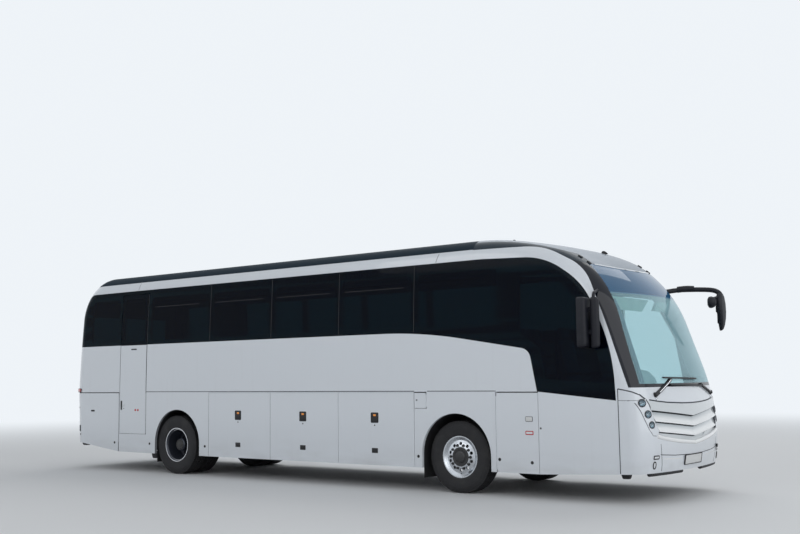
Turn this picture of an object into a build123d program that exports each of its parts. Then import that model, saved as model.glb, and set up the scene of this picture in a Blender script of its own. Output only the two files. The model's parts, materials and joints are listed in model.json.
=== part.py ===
from build123d import *
import math
import os

# Coach bus, in millimetres. +X is forward, +Y is the coach's left, +Z is up.
# The origin is on the ground under the middle of the coach.

# Overall sizes
wheelbase = 6120
front_axle_x = 3043
rear_axle_x = front_axle_x - wheelbase
half_width = 1275
roof_z = 3655
waist_z = 1451
belt_z = 2331
band_top_z = 3350
cant_top_z = 3496
skirt_z = 345
cab_skirt_z = 336
rear_skirt_z = 351
tail_skirt_z = 482
nose_skirt_z = 385
bumper_skirt_z = 400

# Thicknesses
glass_t = 6
lamp_t = 30
door_t = 40
wall_t = 45
plate_t = 20
floor_t = 40

# Shut lines and hinges
shut_gap = 6
swing_gap = 12
hinge_drop = 9
hinge_inset = 3
bead_r = 5
turn_clear = 0.3
channel_t = 3
neck_t = 3
hinge_gap = 10

# Hull: the nose is turned about an upright axis, so the front is bowed in plan
plan_centre_x = 600
edge_radius = 280
tumblehome_radius = 30080
lap = 100

# Limits beyond the coach on every side, for cutting
below_z = -500
above_z = 3900
ahead_x = 6400
reach = 1400

# Nose and tail in side view
nose_points = [(5853, below_z), (6135, 691), (6059, waist_z), (5590, 2788), (5009, 3382), (3957, roof_z)]
nose_radii = [2044, 3073, 1796, 1435, 4088]
tail_points = [(-5986, below_z), (-6100, waist_z), (-5985, roof_z)]
tail_radii = [3000, 850]

# Side seams along the coach, from the tail to the nose
tail_split_x = -5600
flap_rear_x = -6000
door_rear_x = -4654
door_front_x = -3873
locker_x = [-2182, -687, 802, 2295]
front_locker_x = [3723, 4413]
cab_glass_x = [4399, 5574]
dome_rear_x = 3340
screen_top_x = 4905
screen_top_z = 3243
nose_seam_x = 5601
door_sill_z = 683
fuel_flap_x = 2528
window_sill_z = 2400
window_head_z = 3200
windows = [(-5560, -4720), (-3790, -2250), (-2120, -750), (-620, 740), (870, 2230), (2360, 3750)]
cab_window = [
    (4130, 3050), (4700, 3010), (5060, 2650), (5320, 1950), (5390, 1560), (4520, 1620), (4420, 2060), (4130, 2260),
]
screen_foot_z = 1500
screen_head_z = 3125
bonnet_seam_z = 1487
bonnet_seam = [(5785, 1445), (5869, 1408), (5920, 1345), (6023, 1297), (6066, 1277)]
pillar_foot_z = 1333
door_head_z = 3280
cab_door_rear_x = 4456
fuel_flap_z = 1205

# Wheels and arches
tyre_r = 515
tyre_w = 295
rim_r = 292
front_wheel_y = 1052
rear_outer_y = 1087
rear_inner_y = 747
arch_top_z = 1140
arches = [(-3612, -2422), (2433, 3635)]
kingpin_y = 960

# Structure
deck_z = 1330
bay_floor_z = 400
cab_floor_z = 900
rail_y = 400
rail_w = 70
rail_z = 640
rail_h = 160
liner_y = 540
liner_t = 15
liner_gap_z = 60
flap_t = 8
flap_y = [880, 1200]
flap_z = [190, 600]
bay_y = 1225
bay_floor_t = 30
deck_rear_x = -6060
riser_x = 4415
tread_w = 240
# Each stepwell: from and to along the coach, from and to across it, and height of its floor
well_left = (4480, 5560, 620, 1225, 380)
well_right = (-4640, -3890, 700, 1225, 690)
member_w = 80
member_inset = 20
engine_x = [-5860, -4700]
engine_z = [500, 1290]

# Axles: beam and fork at the front, housing with its differential at the rear
axle_z = tyre_r
beam_w = 100
beam_half = [(700, 480), (930, 550), (930, 480), (700, 400)]
eye_h = 110
eye_r = 50
kingpin_r = 22
pin_h = 230
spring_y = 435
spring_r = 100
spring_foot_z = 440
fork_w = 90
fork_out = 85
fork_h = 220
mouth_out = 57
mouth_h = 122
stub_r = 38
stub_l = 133
housing_y = 560
housing_r = 75
shaft_y = 1127
shaft_r = 45
differential_w = 280
differential_r = 190
saddle_w = 150
saddle_l = 160
jack_z = 400
disc_y = 60
hand_hole_r = 24
hand_hole_ring_r = 190
hand_hole_count = 10

# Inside
seat_pitch = 760
seat_rows = 12
first_seat_x = -5200
seat_y = [330, 1190]
seat_profile = [
    (0, 0), (420, 0), (450, 330), (500, 380), (490, 460),
    (60, 440), (-70, 1080), (-170, 1080), (-130, 520), (-20, 330),
]
driver_x = 4620
driver_y = [-880, -380]
desk_points = [(5580, 940), (5580, 1380), (5700, 1490), (ahead_x, 1490), (ahead_x, 940)]
binnacle_points = [(5580, 940), (5330, 940), (5250, 1350), (5330, 1500), (5580, 1530)]
binnacle_y = [-1050, -250]
wheel_centre = (5080, -620, 1640)
wheel_lean = (-0.5, 0, 0.87)
wheel_r = 225
grip_w = 28
spoke_w = 40
boss_r = 60
column_r = 30
column_l = 330
rack_x = [-5400, 3800]
rack_points = [
    (1400, 3210), (900, 3160), (800, 3200), (795, 3290), (815, 3290), (822, 3215), (905, 3182), (1400, 3232),
]

# Doors and the rear, with the slots of the engine lid
window_corner_r = 60
door_stile_w = 90
hinge_end_gap = 20
post_lap = 2
door_panes = [
    [(4540, 700), (5500, 700), (5500, 1290), (4540, 1370)],
    [(4540, 1520), (5480, 1430), (5350, 2200), (5010, 2850), (4540, 3080)],
]
tail_slope_x = -5777
tail_inner_x = -5900
lid_y = 900
lid_z = [700, 1395]
lid_hinge_x = -6094
rear_window_y = 1000
rear_window_z = [2000, 3000]
rear_window_lap = 60
tail_lamp_y = [940, 1080]
tail_lamp_z = [760, 1380]
slot_w = 520
slot_h = 12
slot_gap_y = 100
slot_pitch_z = 36
slot_rows = 9

# Front in front view: the field of louvres over the chin line, and the lamp pods beside it
bumper_level_x = 5950
field_y = 1150
field_side_z = 1150
chin = [(0, 750), (491, 795), (790, 832), (1040, 880)]
inlet = [(474, 900), (377, 821), (0, 807), (-377, 821), (-474, 900)]
pod_outer = [
    (1300, 1500), (1300, 1342), (1271, 1332), (1240, 1296), (1211, 1194), (1180, 1062), (1148, 960), (1100, 880),
    (1000, 878),
]
pod_inner = [(969, 942), (1023, 1026), (1055, 1119), (1081, 1201), (1102, 1283), (1133, 1345), (1133, 1500)]
# Each round lamp: place across, height and radius
lamps = [(1186, 1300, 52), (1139, 1155, 50), (1104, 1019, 46)]
# Each louvre: height of its lip at the middle, its own height, and depth of its top
louvres = [(967, 120, 36), (837, 115, 36)]
louvre_lean_deg = 5.3
louvre_arc_deg = 13
lip_depth = 3
lip_h = 14
louvre_gap = 18

# Mirrors and wipers. Each case: from and to along the coach, across it and upwards.
left_foot_points = [(5260, 2918), (5380, 2745), (5270, 2553), (5230, 2586), (5250, 2736)]
left_foot_y = [1050, 1270]
left_arm_points = [(5240, 1150, 2900), (5450, 1300, 2930), (5850, 1420, 2915), (6000, 1420, 2830), (6015, 1420, 2750)]
left_arm_r = 34
left_cases = [
    (5985, 6045, 1320, 1530, 2330, 2780),
    (5950, 6010, 1150, 1300, 2640, 2790),
    (5985, 6008, 1280, 1340, 2690, 2750),
    (5514, 5583, 1285, 1375, 2880, 2970),
]
right_arm_points = [(5287, -1090, 2815), (5355, -1390, 2740), (5355, -1390, 2500)]
right_arm_r = 22
right_cases = [(5170, 5250, -1530, -1330, 2030, 2690), (5325, 5385, -1430, -1350, 2020, 2680)]
right_clamps = [(5240, 5335, -1420, -1360, 2200, 2260), (5240, 5335, -1420, -1360, 2500, 2560)]
arm_bend_r = 60
wiper_t = 30
# Each wiper: its arm and its blade in front view, from, to and width
wiper_bars = [
    [((-940, 1400), (-477, 1604), 35), ((-659, 1622), (343, 1602), 22)],
    [((940, 1400), (505, 1520), 35), ((-542, 1530), (505, 1505), 22)],
]

RIGHT = -1
LEFT = 1


def side_prism(outline, side):
    """The space beside a side-view outline, from the middle out to one side."""
    with BuildPart() as prism:
        extrude(outline, amount=-side * reach)
    return prism.part


def across(outline):
    """The space beside a side-view outline, right across the coach."""
    with BuildPart() as prism:
        extrude(outline, amount=reach, both=True)
    return prism.part


def side_face(points):
    """A straight-edged outline in side view."""
    with BuildSketch(Plane.XZ) as face:
        with BuildLine():
            Polyline(*points, close=True)
        make_face()
    return face.sketch


def side_box(x0, x1, z0, z1):
    """A rectangle in side view."""
    return side_face([(x0, z0), (x1, z0), (x1, z1), (x0, z1)])


def front_prism(points, x0, x1):
    """The space before a front-view outline, from x0 to x1."""
    with BuildPart() as prism:
        with BuildSketch(Plane.YZ.offset(x0)):
            with BuildLine():
                Polyline(*points, close=True)
            make_face()
        extrude(amount=x1 - x0)
    return prism.part


def drawn_in(corners, inset):
    """The corners of an open outline, listed clockwise, once each of its sides has moved in."""
    sides = []
    for start, end in zip(corners, corners[1:]):
        along = (Vector(*end) - Vector(*start)).normalized()
        inward = Vector(along.Y, -along.X) * inset
        sides.append((Vector(*start) + inward, along))
    moved = [sides[0][0]]
    for (point, along), (next_point, next_along) in zip(sides, sides[1:]):
        step = (next_point - point).cross(next_along).Z / along.cross(next_along).Z
        moved.append(point + along * step)
    last_point, last_along = sides[-1]
    moved.append(last_point + last_along * last_along.dot(Vector(*corners[-1]) - last_point))
    return moved


def hull(inset):
    """The coach's outer form, drawn in by an inset: cambered sides, a bowed nose and rounded edges."""
    camber_r = tumblehome_radius - inset
    side_y = half_width - inset
    top_y = side_y - camber_r + math.sqrt(camber_r**2 - (above_z - waist_z) ** 2)
    with BuildPart() as slab:
        with BuildSketch(Plane.YZ.offset(-7000)):
            with BuildLine():
                for side in (RIGHT, LEFT):
                    Line((side * side_y, below_z), (side * side_y, waist_z))
                    RadiusArc((side * side_y, waist_z), (side * top_y, above_z), -side * camber_r)
                Line((-side_y, below_z), (side_y, below_z))
                Line((-top_y, above_z), (top_y, above_z))
            make_face()
        extrude(amount=14000)
    nose = [(-lap, roof_z)] + [(x - plan_centre_x, z) for x, z in reversed(nose_points)]
    nose = drawn_in(nose, inset)
    with BuildPart() as front:
        add(slab.part)
        with BuildSketch(Plane(origin=(plan_centre_x, 0, 0), x_dir=(-1, 0, 0), z_dir=(0, 1, 0))):
            with BuildLine():
                FilletPolyline(*nose, radius=[r - inset for r in reversed(nose_radii)])
                Polyline(nose[-1], (-lap, nose[-1].Y), nose[0])
            make_face()
            with Locations((-lap, 0)):
                Rectangle(2 * lap, 3 * above_z, mode=Mode.SUBTRACT)
        revolve(axis=Axis((plan_centre_x, 0, 0), (0, 0, 1)), mode=Mode.INTERSECT)
        split(bisect_by=Plane.YZ.offset(plan_centre_x), keep=Keep.TOP)
    tail = drawn_in(tail_points + [(plan_centre_x + lap, roof_z)], inset)
    with BuildPart() as back:
        add(slab.part)
        with BuildSketch(Plane.XZ):
            with BuildLine():
                FilletPolyline(*tail, radius=[r - inset for r in tail_radii])
                Polyline(tail[-1], (tail[-1].X, tail[0].Y), tail[0])
            make_face()
        extrude(amount=half_width + lap, both=True, mode=Mode.INTERSECT)
        split(bisect_by=Plane.YZ.offset(plan_centre_x), keep=Keep.BOTTOM)
    with BuildPart() as body:
        add(front.part)
        add(back.part)
        rims = [
            edge
            for edge in body.edges()
            if abs(edge.center().Y) > half_width / 2
            and edge.center().Z > below_z + 2 * lap
            and not (edge.geom_type == GeomType.LINE and abs(edge.center().Z - waist_z) < lap)
        ]
        fillet(rims, edge_radius - inset)
    return body.part


def band_face():
    """The dark glass band in side view, from the tail corner to the windscreen pillar."""
    with BuildSketch(Plane.XZ) as face:
        with BuildLine():
            FilletPolyline((-5975, belt_z), (-5840, 3345), (-4500, band_top_z), radius=330)
            Line((-4500, band_top_z), (3500, band_top_z))
            glass = [(3500, band_top_z), (4530, 3308), (5133, 2899), (5543, 2009), (cab_glass_x[1], pillar_foot_z)]
            FilletPolyline(*glass, radius=[1150, 1100, 2300])
            Line((cab_glass_x[1], pillar_foot_z), (cab_glass_x[0], waist_z))
            belt = [(cab_glass_x[0], waist_z), (4283, 2033), (2446, belt_z), (-5975, belt_z)]
            FilletPolyline(*belt, radius=[170, 9000])
        make_face()
    return face.sketch


def cab_top_z(x):
    """Height of the sloping lower edge of the cab glass."""
    rear_x, front_x = cab_glass_x
    return waist_z + (pillar_foot_z - waist_z) * (x - rear_x) / (front_x - rear_x)


pillar_corners = [(dome_rear_x, cant_top_z), (4459, 3478), (5113, 3130), (5390, 2539), (5744, screen_foot_z)]
pillar_radii = [1200, 800, 6500]


def upper_face():
    """Everything between waist and cant rail in side view, with the pillar that sweeps to the nose."""
    with BuildSketch(Plane.XZ) as face:
        with BuildLine():
            Polyline((tail_split_x, waist_z), (tail_split_x, cant_top_z), pillar_corners[0])
            FilletPolyline(*pillar_corners, radius=pillar_radii)
            Polyline(
                pillar_corners[-1],
                (nose_seam_x, bonnet_seam_z),
                (nose_seam_x, pillar_foot_z),
                (cab_glass_x[1], pillar_foot_z),
                (cab_glass_x[0], waist_z),
                (tail_split_x, waist_z),
            )
        make_face()
    return face.sketch


def nose_face():
    """Everything ahead of the pillars in side view, above the bonnet seam and below the roof seam."""
    with BuildSketch(Plane.XZ) as face:
        with BuildLine():
            FilletPolyline(*pillar_corners, radius=pillar_radii)
            Polyline(
                pillar_corners[-1],
                (nose_seam_x, bonnet_seam_z),
                *bonnet_seam,
                (ahead_x, bonnet_seam[-1][1]),
                (ahead_x, above_z),
                (dome_rear_x, above_z),
                pillar_corners[0],
            )
        make_face()
    return face.sketch


def hinge_plane(origin, out, up):
    """A plane square to a hinge line: x points out of the coach, y from the lid to its fixed side."""
    return Plane(origin=origin, x_dir=out, z_dir=Vector(*out).cross(Vector(*up)))


def hinge_socket(plane, length):
    """A hinge extrusion open towards the lid, with its web up to the fixed side."""
    socket_r = bead_r + turn_clear
    rim_r = socket_r + channel_t
    with BuildPart() as socket:
        with BuildSketch(plane):
            Circle(rim_r)
            with Locations((0, (socket_r + hinge_drop) / 2)):
                Rectangle(channel_t, hinge_drop - socket_r)
            Circle(socket_r, mode=Mode.SUBTRACT)
            with BuildLine():
                Polyline((0, 0), (24, 9), (24, -24), (-12, -24), close=True)
            make_face(mode=Mode.SUBTRACT)
        extrude(amount=length)
    return socket.part


def hinge_bead(plane, length):
    """The round bead along a lid's edge, on its neck."""
    with BuildPart() as bead:
        with BuildSketch(plane):
            Circle(bead_r)
            with Locations((0, -hinge_gap / 2)):
                Rectangle(neck_t, hinge_gap)
        extrude(amount=length)
    return bead.part


written = []


def write(part, name):
    """Label a finished piece and write its file."""
    part.label = name
    export_step(part, f"parts/{name}.step")
    written.append(name)


os.makedirs("parts", exist_ok=True)

# The hull at each depth of its skin
outer = hull(0)
glass_inner = hull(glass_t)
lamp_inner = hull(lamp_t)
door_inner = hull(door_t)
wall_inner = hull(wall_t)
band = band_face()
upper = upper_face()


def skin(region, depth, start=None):
    """The part of the shell inside a region, from the surface or a start depth, down to a depth."""
    with BuildPart() as piece:
        add(outer if start is None else start)
        add(region, mode=Mode.INTERSECT)
        add(depth, mode=Mode.SUBTRACT)
    return piece.part


def trimmed(piece, *cutters):
    """A piece with everything inside some cutters taken away."""
    with BuildPart() as rest:
        add(piece)
        for cutter in cutters:
            add(cutter, mode=Mode.SUBTRACT)
    return rest.part


def joined(*pieces):
    """Several pieces as one."""
    with BuildPart() as whole:
        for piece in pieces:
            add(piece)
    return whole.part


def block(x0, x1, y0, y1, z0, z1):
    """A plain block between its limits."""
    with BuildPart() as solid:
        with BuildSketch(Plane.XY.offset(z0)):
            with Locations(((x0 + x1) / 2, (y0 + y1) / 2)):
                Rectangle(x1 - x0, y1 - y0)
        extrude(amount=z1 - z0)
    return solid.part


def side_block(x0, x1, side, y0, y1, z0, z1):
    """A plain block on one side of the coach, its width given by distances from the middle."""
    return block(x0, x1, min(side * y0, side * y1), max(side * y0, side * y1), z0, z1)


def rod(start, direction, length, radius):
    """A round bar along a direction."""
    with BuildPart() as bar:
        with BuildSketch(Plane(origin=start, z_dir=direction)):
            Circle(radius)
        extrude(amount=length)
    return bar.part


def nose_box(y0, y1, z0, z1, x0, x1):
    """A rectangle in front view, as a block from x0 to x1."""
    return front_prism([(y0, z0), (y1, z0), (y1, z1), (y0, z1)], x0, x1)


def both_sides(points, x0, x1):
    """A front-view outline and its mirror image, as blocks from x0 to x1."""
    return joined(*[front_prism([(side * y, z) for y, z in points], x0, x1) for side in (RIGHT, LEFT)])


# Openings that the moving panels leave in the sides, and the panels that fill them
waist_gap_z = waist_z - hinge_drop
lid_top_z = waist_gap_z - hinge_gap
hinge_y = half_width - hinge_inset
edge_gap = hinge_drop + hinge_gap
door_hinge_x = door_front_x - hinge_drop
door_opening = side_box(door_rear_x, door_front_x, door_sill_z, door_head_z)
door_leaf = side_box(
    door_rear_x + swing_gap, door_front_x - edge_gap, door_sill_z + shut_gap, door_head_z - shut_gap
)
with BuildSketch(Plane.XZ) as cab_door:
    add(band)
    with Locations(((cab_door_rear_x + nose_seam_x) / 2, roof_z / 2)):
        Rectangle(nose_seam_x - cab_door_rear_x, roof_z, mode=Mode.INTERSECT)
    with BuildLine():
        Polyline(
            (cab_door_rear_x, cab_skirt_z),
            (nose_seam_x - shut_gap, cab_skirt_z),
            (nose_seam_x - shut_gap, pillar_foot_z),
            (cab_glass_x[1], pillar_foot_z),
            (cab_door_rear_x, waist_z - shut_gap),
            close=True,
        )
    make_face()
cab_door_opening = cab_door.sketch

# Windows, from the tail to the cab
with BuildSketch(Plane.XZ) as window_holes:
    for start, end in windows:
        with Locations(((start + end) / 2, (window_sill_z + window_head_z) / 2)):
            RectangleRounded(end - start, window_head_z - window_sill_z, window_corner_r)
    with BuildLine():
        Polyline(*cab_window, close=True)
    make_face()
with BuildSketch(Plane.XZ) as door_window:
    with Locations(((door_rear_x + door_front_x) / 2, (window_sill_z + window_head_z) / 2)):
        RectangleRounded(
            door_front_x - door_rear_x - 2 * door_stile_w, window_head_z - window_sill_z, window_corner_r
        )

# Side walls from waist to cant rail, with the sockets of the luggage doors' hinges along the waist
openings = {RIGHT: door_opening, LEFT: cab_door_opening}
names = {RIGHT: "right", LEFT: "left"}
frames = []
glasses = []
for side in (RIGHT, LEFT):
    sockets = []
    for start, end in zip(locker_x, locker_x[1:]):
        foot = start + shut_gap / 2 if side == LEFT else end - shut_gap / 2
        plane = hinge_plane((foot, side * hinge_y, waist_gap_z), (0, side, 0), (0, 0, 1))
        sockets.append(hinge_socket(plane, end - start - shut_gap))
    wall = trimmed(
        skin(side_prism(upper, side), wall_inner), side_prism(band, side), side_prism(openings[side], side)
    )
    write(joined(wall, *sockets), f"side_wall_{names[side]}")
    frames.append(
        trimmed(
            skin(side_prism(band, side), wall_inner, glass_inner),
            side_prism(window_holes.sketch, side),
            side_prism(openings[side], side),
        )
    )
    glasses.append(trimmed(skin(side_prism(band, side), glass_inner), side_prism(openings[side], side)))
write(joined(*frames), "window_frames")
write(joined(*glasses), "side_glass")

# Roof, front dome, windscreen and the panel under it
roof_region = across(side_box(-ahead_x, dome_rear_x, cant_top_z, above_z))
nose_region = across(nose_face())
above_screen = across(
    side_face(
        [
            (dome_rear_x, above_z),
            (dome_rear_x, screen_head_z - lap),
            (screen_top_x, screen_top_z),
            (screen_top_x + 4 * lap, screen_head_z),
            (ahead_x, screen_head_z),
            (ahead_x, above_z),
        ]
    )
)
below_screen = across(side_box(cab_door_rear_x, ahead_x, cab_floor_z, screen_foot_z))
write(skin(roof_region, wall_inner), "roof_shell")
write(skin(nose_region & above_screen, wall_inner), "front_dome")
write(skin(nose_region & below_screen, wall_inner), "bonnet_panel")
write(trimmed(skin(nose_region, glass_inner), above_screen, below_screen), "windscreen")

# Fixed lower panels of each side, and the arches cut in them
behind_locker_x = locker_x[0] - shut_gap / 2
ahead_of_locker_x = locker_x[-1] + shut_gap / 2
with BuildSketch(Plane.XZ) as arch_holes:
    for start, end in arches:
        radius = (end - start) / 2
        straight_h = arch_top_z - radius - skirt_z + lap
        with Locations(((start + end) / 2, skirt_z - lap + straight_h / 2)):
            Rectangle(2 * radius, straight_h)
        with Locations(((start + end) / 2, arch_top_z - radius)):
            Circle(radius)
lower_side = {}
for side in (RIGHT, LEFT):
    faces = [
        side_face(
            [
                (door_rear_x, rear_skirt_z),
                (door_front_x, skirt_z),
                (door_front_x, door_sill_z),
                (door_rear_x, door_sill_z),
            ]
        ),
        side_box(door_front_x, behind_locker_x, skirt_z, waist_z),
        side_face(
            [
                (ahead_of_locker_x, skirt_z),
                (front_locker_x[0], cab_skirt_z),
                (front_locker_x[0], waist_z),
                (ahead_of_locker_x, waist_z),
            ]
        ),
        side_face(
            [
                (front_locker_x[1], cab_skirt_z),
                (nose_seam_x, nose_skirt_z),
                (nose_seam_x, pillar_foot_z),
                (cab_glass_x[1], pillar_foot_z),
                (front_locker_x[1], cab_top_z(front_locker_x[1])),
            ]
        ),
    ]
    cutters = [side_prism(arch_holes.sketch, side)]
    if side == LEFT:
        faces.append(side_box(door_rear_x, door_front_x, door_sill_z, waist_z))
        cutters.append(side_prism(cab_door_opening, side))
    else:
        cutters.append(side_prism(side_box(locker_x[-1], fuel_flap_x, fuel_flap_z, waist_z), side))
    panels = joined(*[side_prism(face, side) for face in faces])
    lower_side[side] = trimmed(skin(panels, wall_inner), *cutters)

# Luggage doors, hinged along the waist
for side in (RIGHT, LEFT):
    for number, (start, end) in enumerate(zip(locker_x, locker_x[1:]), 1):
        outline = side_box(start + shut_gap / 2, end - shut_gap / 2, skirt_z, lid_top_z)
        leaf = skin(side_prism(outline, side), door_inner)
        foot = start + shut_gap / 2 if side == LEFT else end - shut_gap / 2
        plane = hinge_plane((foot, side * hinge_y, waist_gap_z), (0, side, 0), (0, 0, 1))
        bead = hinge_bead(plane, end - start - shut_gap)
        write(joined(leaf, bead), f"luggage_door_{names[side]}_{number}")

# Emergency door at the right rear, hinged along its front edge, with the post behind it
door_plane = hinge_plane((door_hinge_x, -hinge_y, door_sill_z + hinge_end_gap), (0, RIGHT, 0), (1, 0, 0))
hinge_length = waist_z - door_sill_z - 2 * hinge_end_gap
leaf = skin(side_prism(door_leaf, RIGHT), door_inner)
leaf = trimmed(leaf, side_prism(door_window.sketch, RIGHT))
door_glass = skin(side_prism(door_leaf, RIGHT) & side_prism(band, RIGHT), glass_inner)
write(joined(trimmed(leaf, door_glass), hinge_bead(door_plane, hinge_length)), "emergency_door")
write(door_glass, "emergency_door_glass")
door_post = side_block(
    door_rear_x - post_lap, door_rear_x + shut_gap, RIGHT, half_width - wall_t, half_width, door_sill_z, waist_z
)
lower_side[RIGHT] = joined(lower_side[RIGHT], hinge_socket(door_plane, hinge_length), door_post)

# Fuel flap, front lockers and engine flaps, on upright hinges
flap_plane = hinge_plane(
    (fuel_flap_x - hinge_drop, -hinge_y, fuel_flap_z + hinge_end_gap), (0, RIGHT, 0), (1, 0, 0)
)
flap_length = waist_z - fuel_flap_z - 3 * hinge_end_gap
outline = side_box(
    locker_x[-1] + shut_gap, fuel_flap_x - edge_gap, fuel_flap_z + shut_gap, waist_gap_z - shut_gap
)
flap = skin(side_prism(outline, RIGHT), door_inner)
write(joined(flap, hinge_bead(flap_plane, flap_length)), "fuel_flap")
lower_side[RIGHT] = joined(lower_side[RIGHT], hinge_socket(flap_plane, flap_length))

locker_outline = side_box(
    front_locker_x[0] + edge_gap, front_locker_x[1] - shut_gap, cab_skirt_z, waist_gap_z - shut_gap
)
engine_flap_outline = side_face(
    [
        (flap_rear_x, tail_skirt_z),
        (tail_slope_x, tail_skirt_z),
        (door_rear_x - edge_gap, rear_skirt_z),
        (door_rear_x - edge_gap, waist_gap_z - shut_gap),
        (flap_rear_x, waist_gap_z - shut_gap),
    ]
)
# Each flap: name, outline, place of its hinge, which way its fixed side lies, height of its foot
flap_table = [
    ("front_locker", locker_outline, front_locker_x[0] + hinge_drop, -1, cab_skirt_z),
    ("engine_flap", engine_flap_outline, door_rear_x - hinge_drop, 1, tail_skirt_z),
]
for side in (RIGHT, LEFT):
    for name, outline, hinge_x, fixed, skirt in flap_table:
        low_z = skirt + 2 * hinge_end_gap
        length = waist_z - low_z - 3 * hinge_end_gap
        foot_z = low_z if side * fixed < 0 else low_z + length
        plane = hinge_plane((hinge_x, side * hinge_y, foot_z), (0, side, 0), (fixed, 0, 0))
        leaf = skin(side_prism(outline, side), door_inner)
        write(joined(leaf, hinge_bead(plane, length)), f"{name}_{names[side]}")
        lower_side[side] = joined(lower_side[side], hinge_socket(plane, length))
    write(lower_side[side], f"lower_side_{names[side]}")


# Rear wall with its window, its lamps and the slotted engine lid
rear_region = across(
    side_face(
        [
            (-ahead_x, tail_skirt_z),
            (tail_inner_x, tail_skirt_z),
            (tail_inner_x, waist_z),
            (tail_split_x, waist_z),
            (tail_split_x, cant_top_z),
            (-ahead_x, cant_top_z),
        ]
    )
)
tail_span = (-ahead_x, tail_split_x)
lid_cut = nose_box(-lid_y, lid_y, *lid_z, *tail_span)
rear_glass_cut = nose_box(-rear_window_y, rear_window_y, *rear_window_z, *tail_span)
hole_y = rear_window_y - rear_window_lap
hole_z = (rear_window_z[0] + rear_window_lap, rear_window_z[1] - rear_window_lap)
rear_hole = nose_box(-hole_y, hole_y, *hole_z, *tail_span)
(lamp_y0, lamp_y1), (lamp_z0, lamp_z1) = tail_lamp_y, tail_lamp_z
lamp_cut = both_sides([(lamp_y0, lamp_z0), (lamp_y1, lamp_z0), (lamp_y1, lamp_z1), (lamp_y0, lamp_z1)], *tail_span)
tail_lamps = skin(lamp_cut, lamp_inner)
rear_window = skin(rear_glass_cut, glass_inner)
flap_cut = across(side_box(flap_rear_x - swing_gap, tail_split_x, 0, waist_gap_z))
rear = trimmed(
    skin(rear_region, wall_inner),
    flap_cut,
    lid_cut,
    rear_hole,
    rear_window,
    tail_lamps,
    side_prism(band, RIGHT),
    side_prism(band, LEFT),
)
lid_end_y = lid_y - hinge_end_gap
lid_plane = hinge_plane((lid_hinge_x, -lid_end_y, lid_z[1] - hinge_drop), (-1, 0, 0), (0, 0, 1))
write(joined(rear, hinge_socket(lid_plane, 2 * lid_end_y)), "rear_wall")
write(rear_window, "rear_window")
write(tail_lamps, "tail_lamps")
lid_block = nose_box(
    shut_gap - lid_y, lid_y - shut_gap, lid_z[0] + swing_gap, lid_z[1] - edge_gap, *tail_span
)
with BuildPart() as lid:
    add(skin(lid_block, door_inner))
    with BuildSketch(Plane.YZ.offset(-ahead_x)):
        with Locations((0, (lid_z[0] + lid_z[1]) / 2)):
            with GridLocations(slot_w + slot_gap_y, slot_pitch_z, 2, slot_rows):
                SlotOverall(slot_w, slot_h)
    extrude(amount=ahead_x + tail_split_x, mode=Mode.SUBTRACT)
write(joined(lid.part, hinge_bead(lid_plane, 2 * lid_end_y)), "engine_lid")

# Front bumper, with the field that the louvres fill
nose_span = (cab_glass_x[1] - 2 * lap, ahead_x)
bumper_region = across(
    side_face(
        [
            (nose_seam_x, nose_skirt_z),
            (bumper_level_x, bumper_skirt_z),
            (ahead_x, bumper_skirt_z),
            (ahead_x, bonnet_seam[-1][1]),
            *bonnet_seam[::-1],
            (nose_seam_x, bonnet_seam_z),
        ]
    )
)
field_corners = [(field_y, field_side_z), (field_y, screen_foot_z), (-field_y, screen_foot_z), (-field_y, field_side_z)]
field_outline = field_corners + [(-y, z) for y, z in chin[::-1]] + chin[1:]
pod_cut = both_sides(pod_outer + pod_inner, *nose_span)
field = trimmed(bumper_region & front_prism(field_outline, *nose_span), pod_cut)


def on_nose(y, z):
    """The point of the hull's surface ahead of a point in front view, and the surface's normal there."""
    hits = outer.shells()[0].find_intersection_points(Axis((0, y, z), (1, 0, 0)))
    return max(hits, key=lambda hit: hit[0].X)


lamp_cuts = []
for side in (RIGHT, LEFT):
    for y, z, radius in lamps:
        point, normal = on_nose(side * y, z)
        direction = Vector(normal.X, normal.Y, 0).normalized()
        lamp_cuts.append(rod(point - direction * lap, direction, 2 * lap, radius))
headlamps = skin(joined(*lamp_cuts), lamp_inner)
pods = skin(bumper_region & pod_cut, lamp_inner)
write(headlamps, "headlamps")
write(trimmed(pods, headlamps), "lamp_pods")
write(trimmed(skin(bumper_region, wall_inner), pods, field, headlamps), "front_bumper")

# Louvres: scoops that lean out to a lip, each half turned about an axis that leans with it
lean = math.radians(louvre_lean_deg)
scoops = []
for low_z, height, top_depth in louvres:
    lip_x = on_nose(0, low_z)[0].X - plan_centre_x - lip_depth
    top_x = on_nose(0, low_z + height)[0].X - plan_centre_x - top_depth
    back_x = lip_x - 2 * wall_t
    origin = (plan_centre_x, 0, low_z)
    with BuildPart() as scoop:
        with BuildSketch(Plane(origin=origin, x_dir=(1, 0, 0), z_dir=(0, -math.cos(lean), math.sin(lean)))):
            with BuildLine():
                Line((lip_x, 0), (lip_x, lip_h))
                TangentArc((top_x, height), (lip_x, lip_h), tangent=(0, -1))
                Polyline((top_x, height), (back_x, height), (back_x, 0), (lip_x, 0))
            make_face()
        revolve(axis=Axis(origin, (0, -math.sin(lean), -math.cos(lean))), revolution_arc=louvre_arc_deg)
        split(bisect_by=Plane.XZ, keep=Keep.TOP)
        mirror(about=Plane.XZ)
    scoops.append(scoop.part)


def vee(low_z, high_z):
    """A band across the nose in front view that rises from the middle as the louvres do."""
    rise = field_y * math.tan(lean)
    outline = [(-field_y, low_z + rise), (0, low_z), (field_y, low_z + rise)]
    outline += [(field_y, high_z + rise), (0, high_z), (-field_y, high_z + rise)]
    return front_prism(outline, *nose_span)


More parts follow.
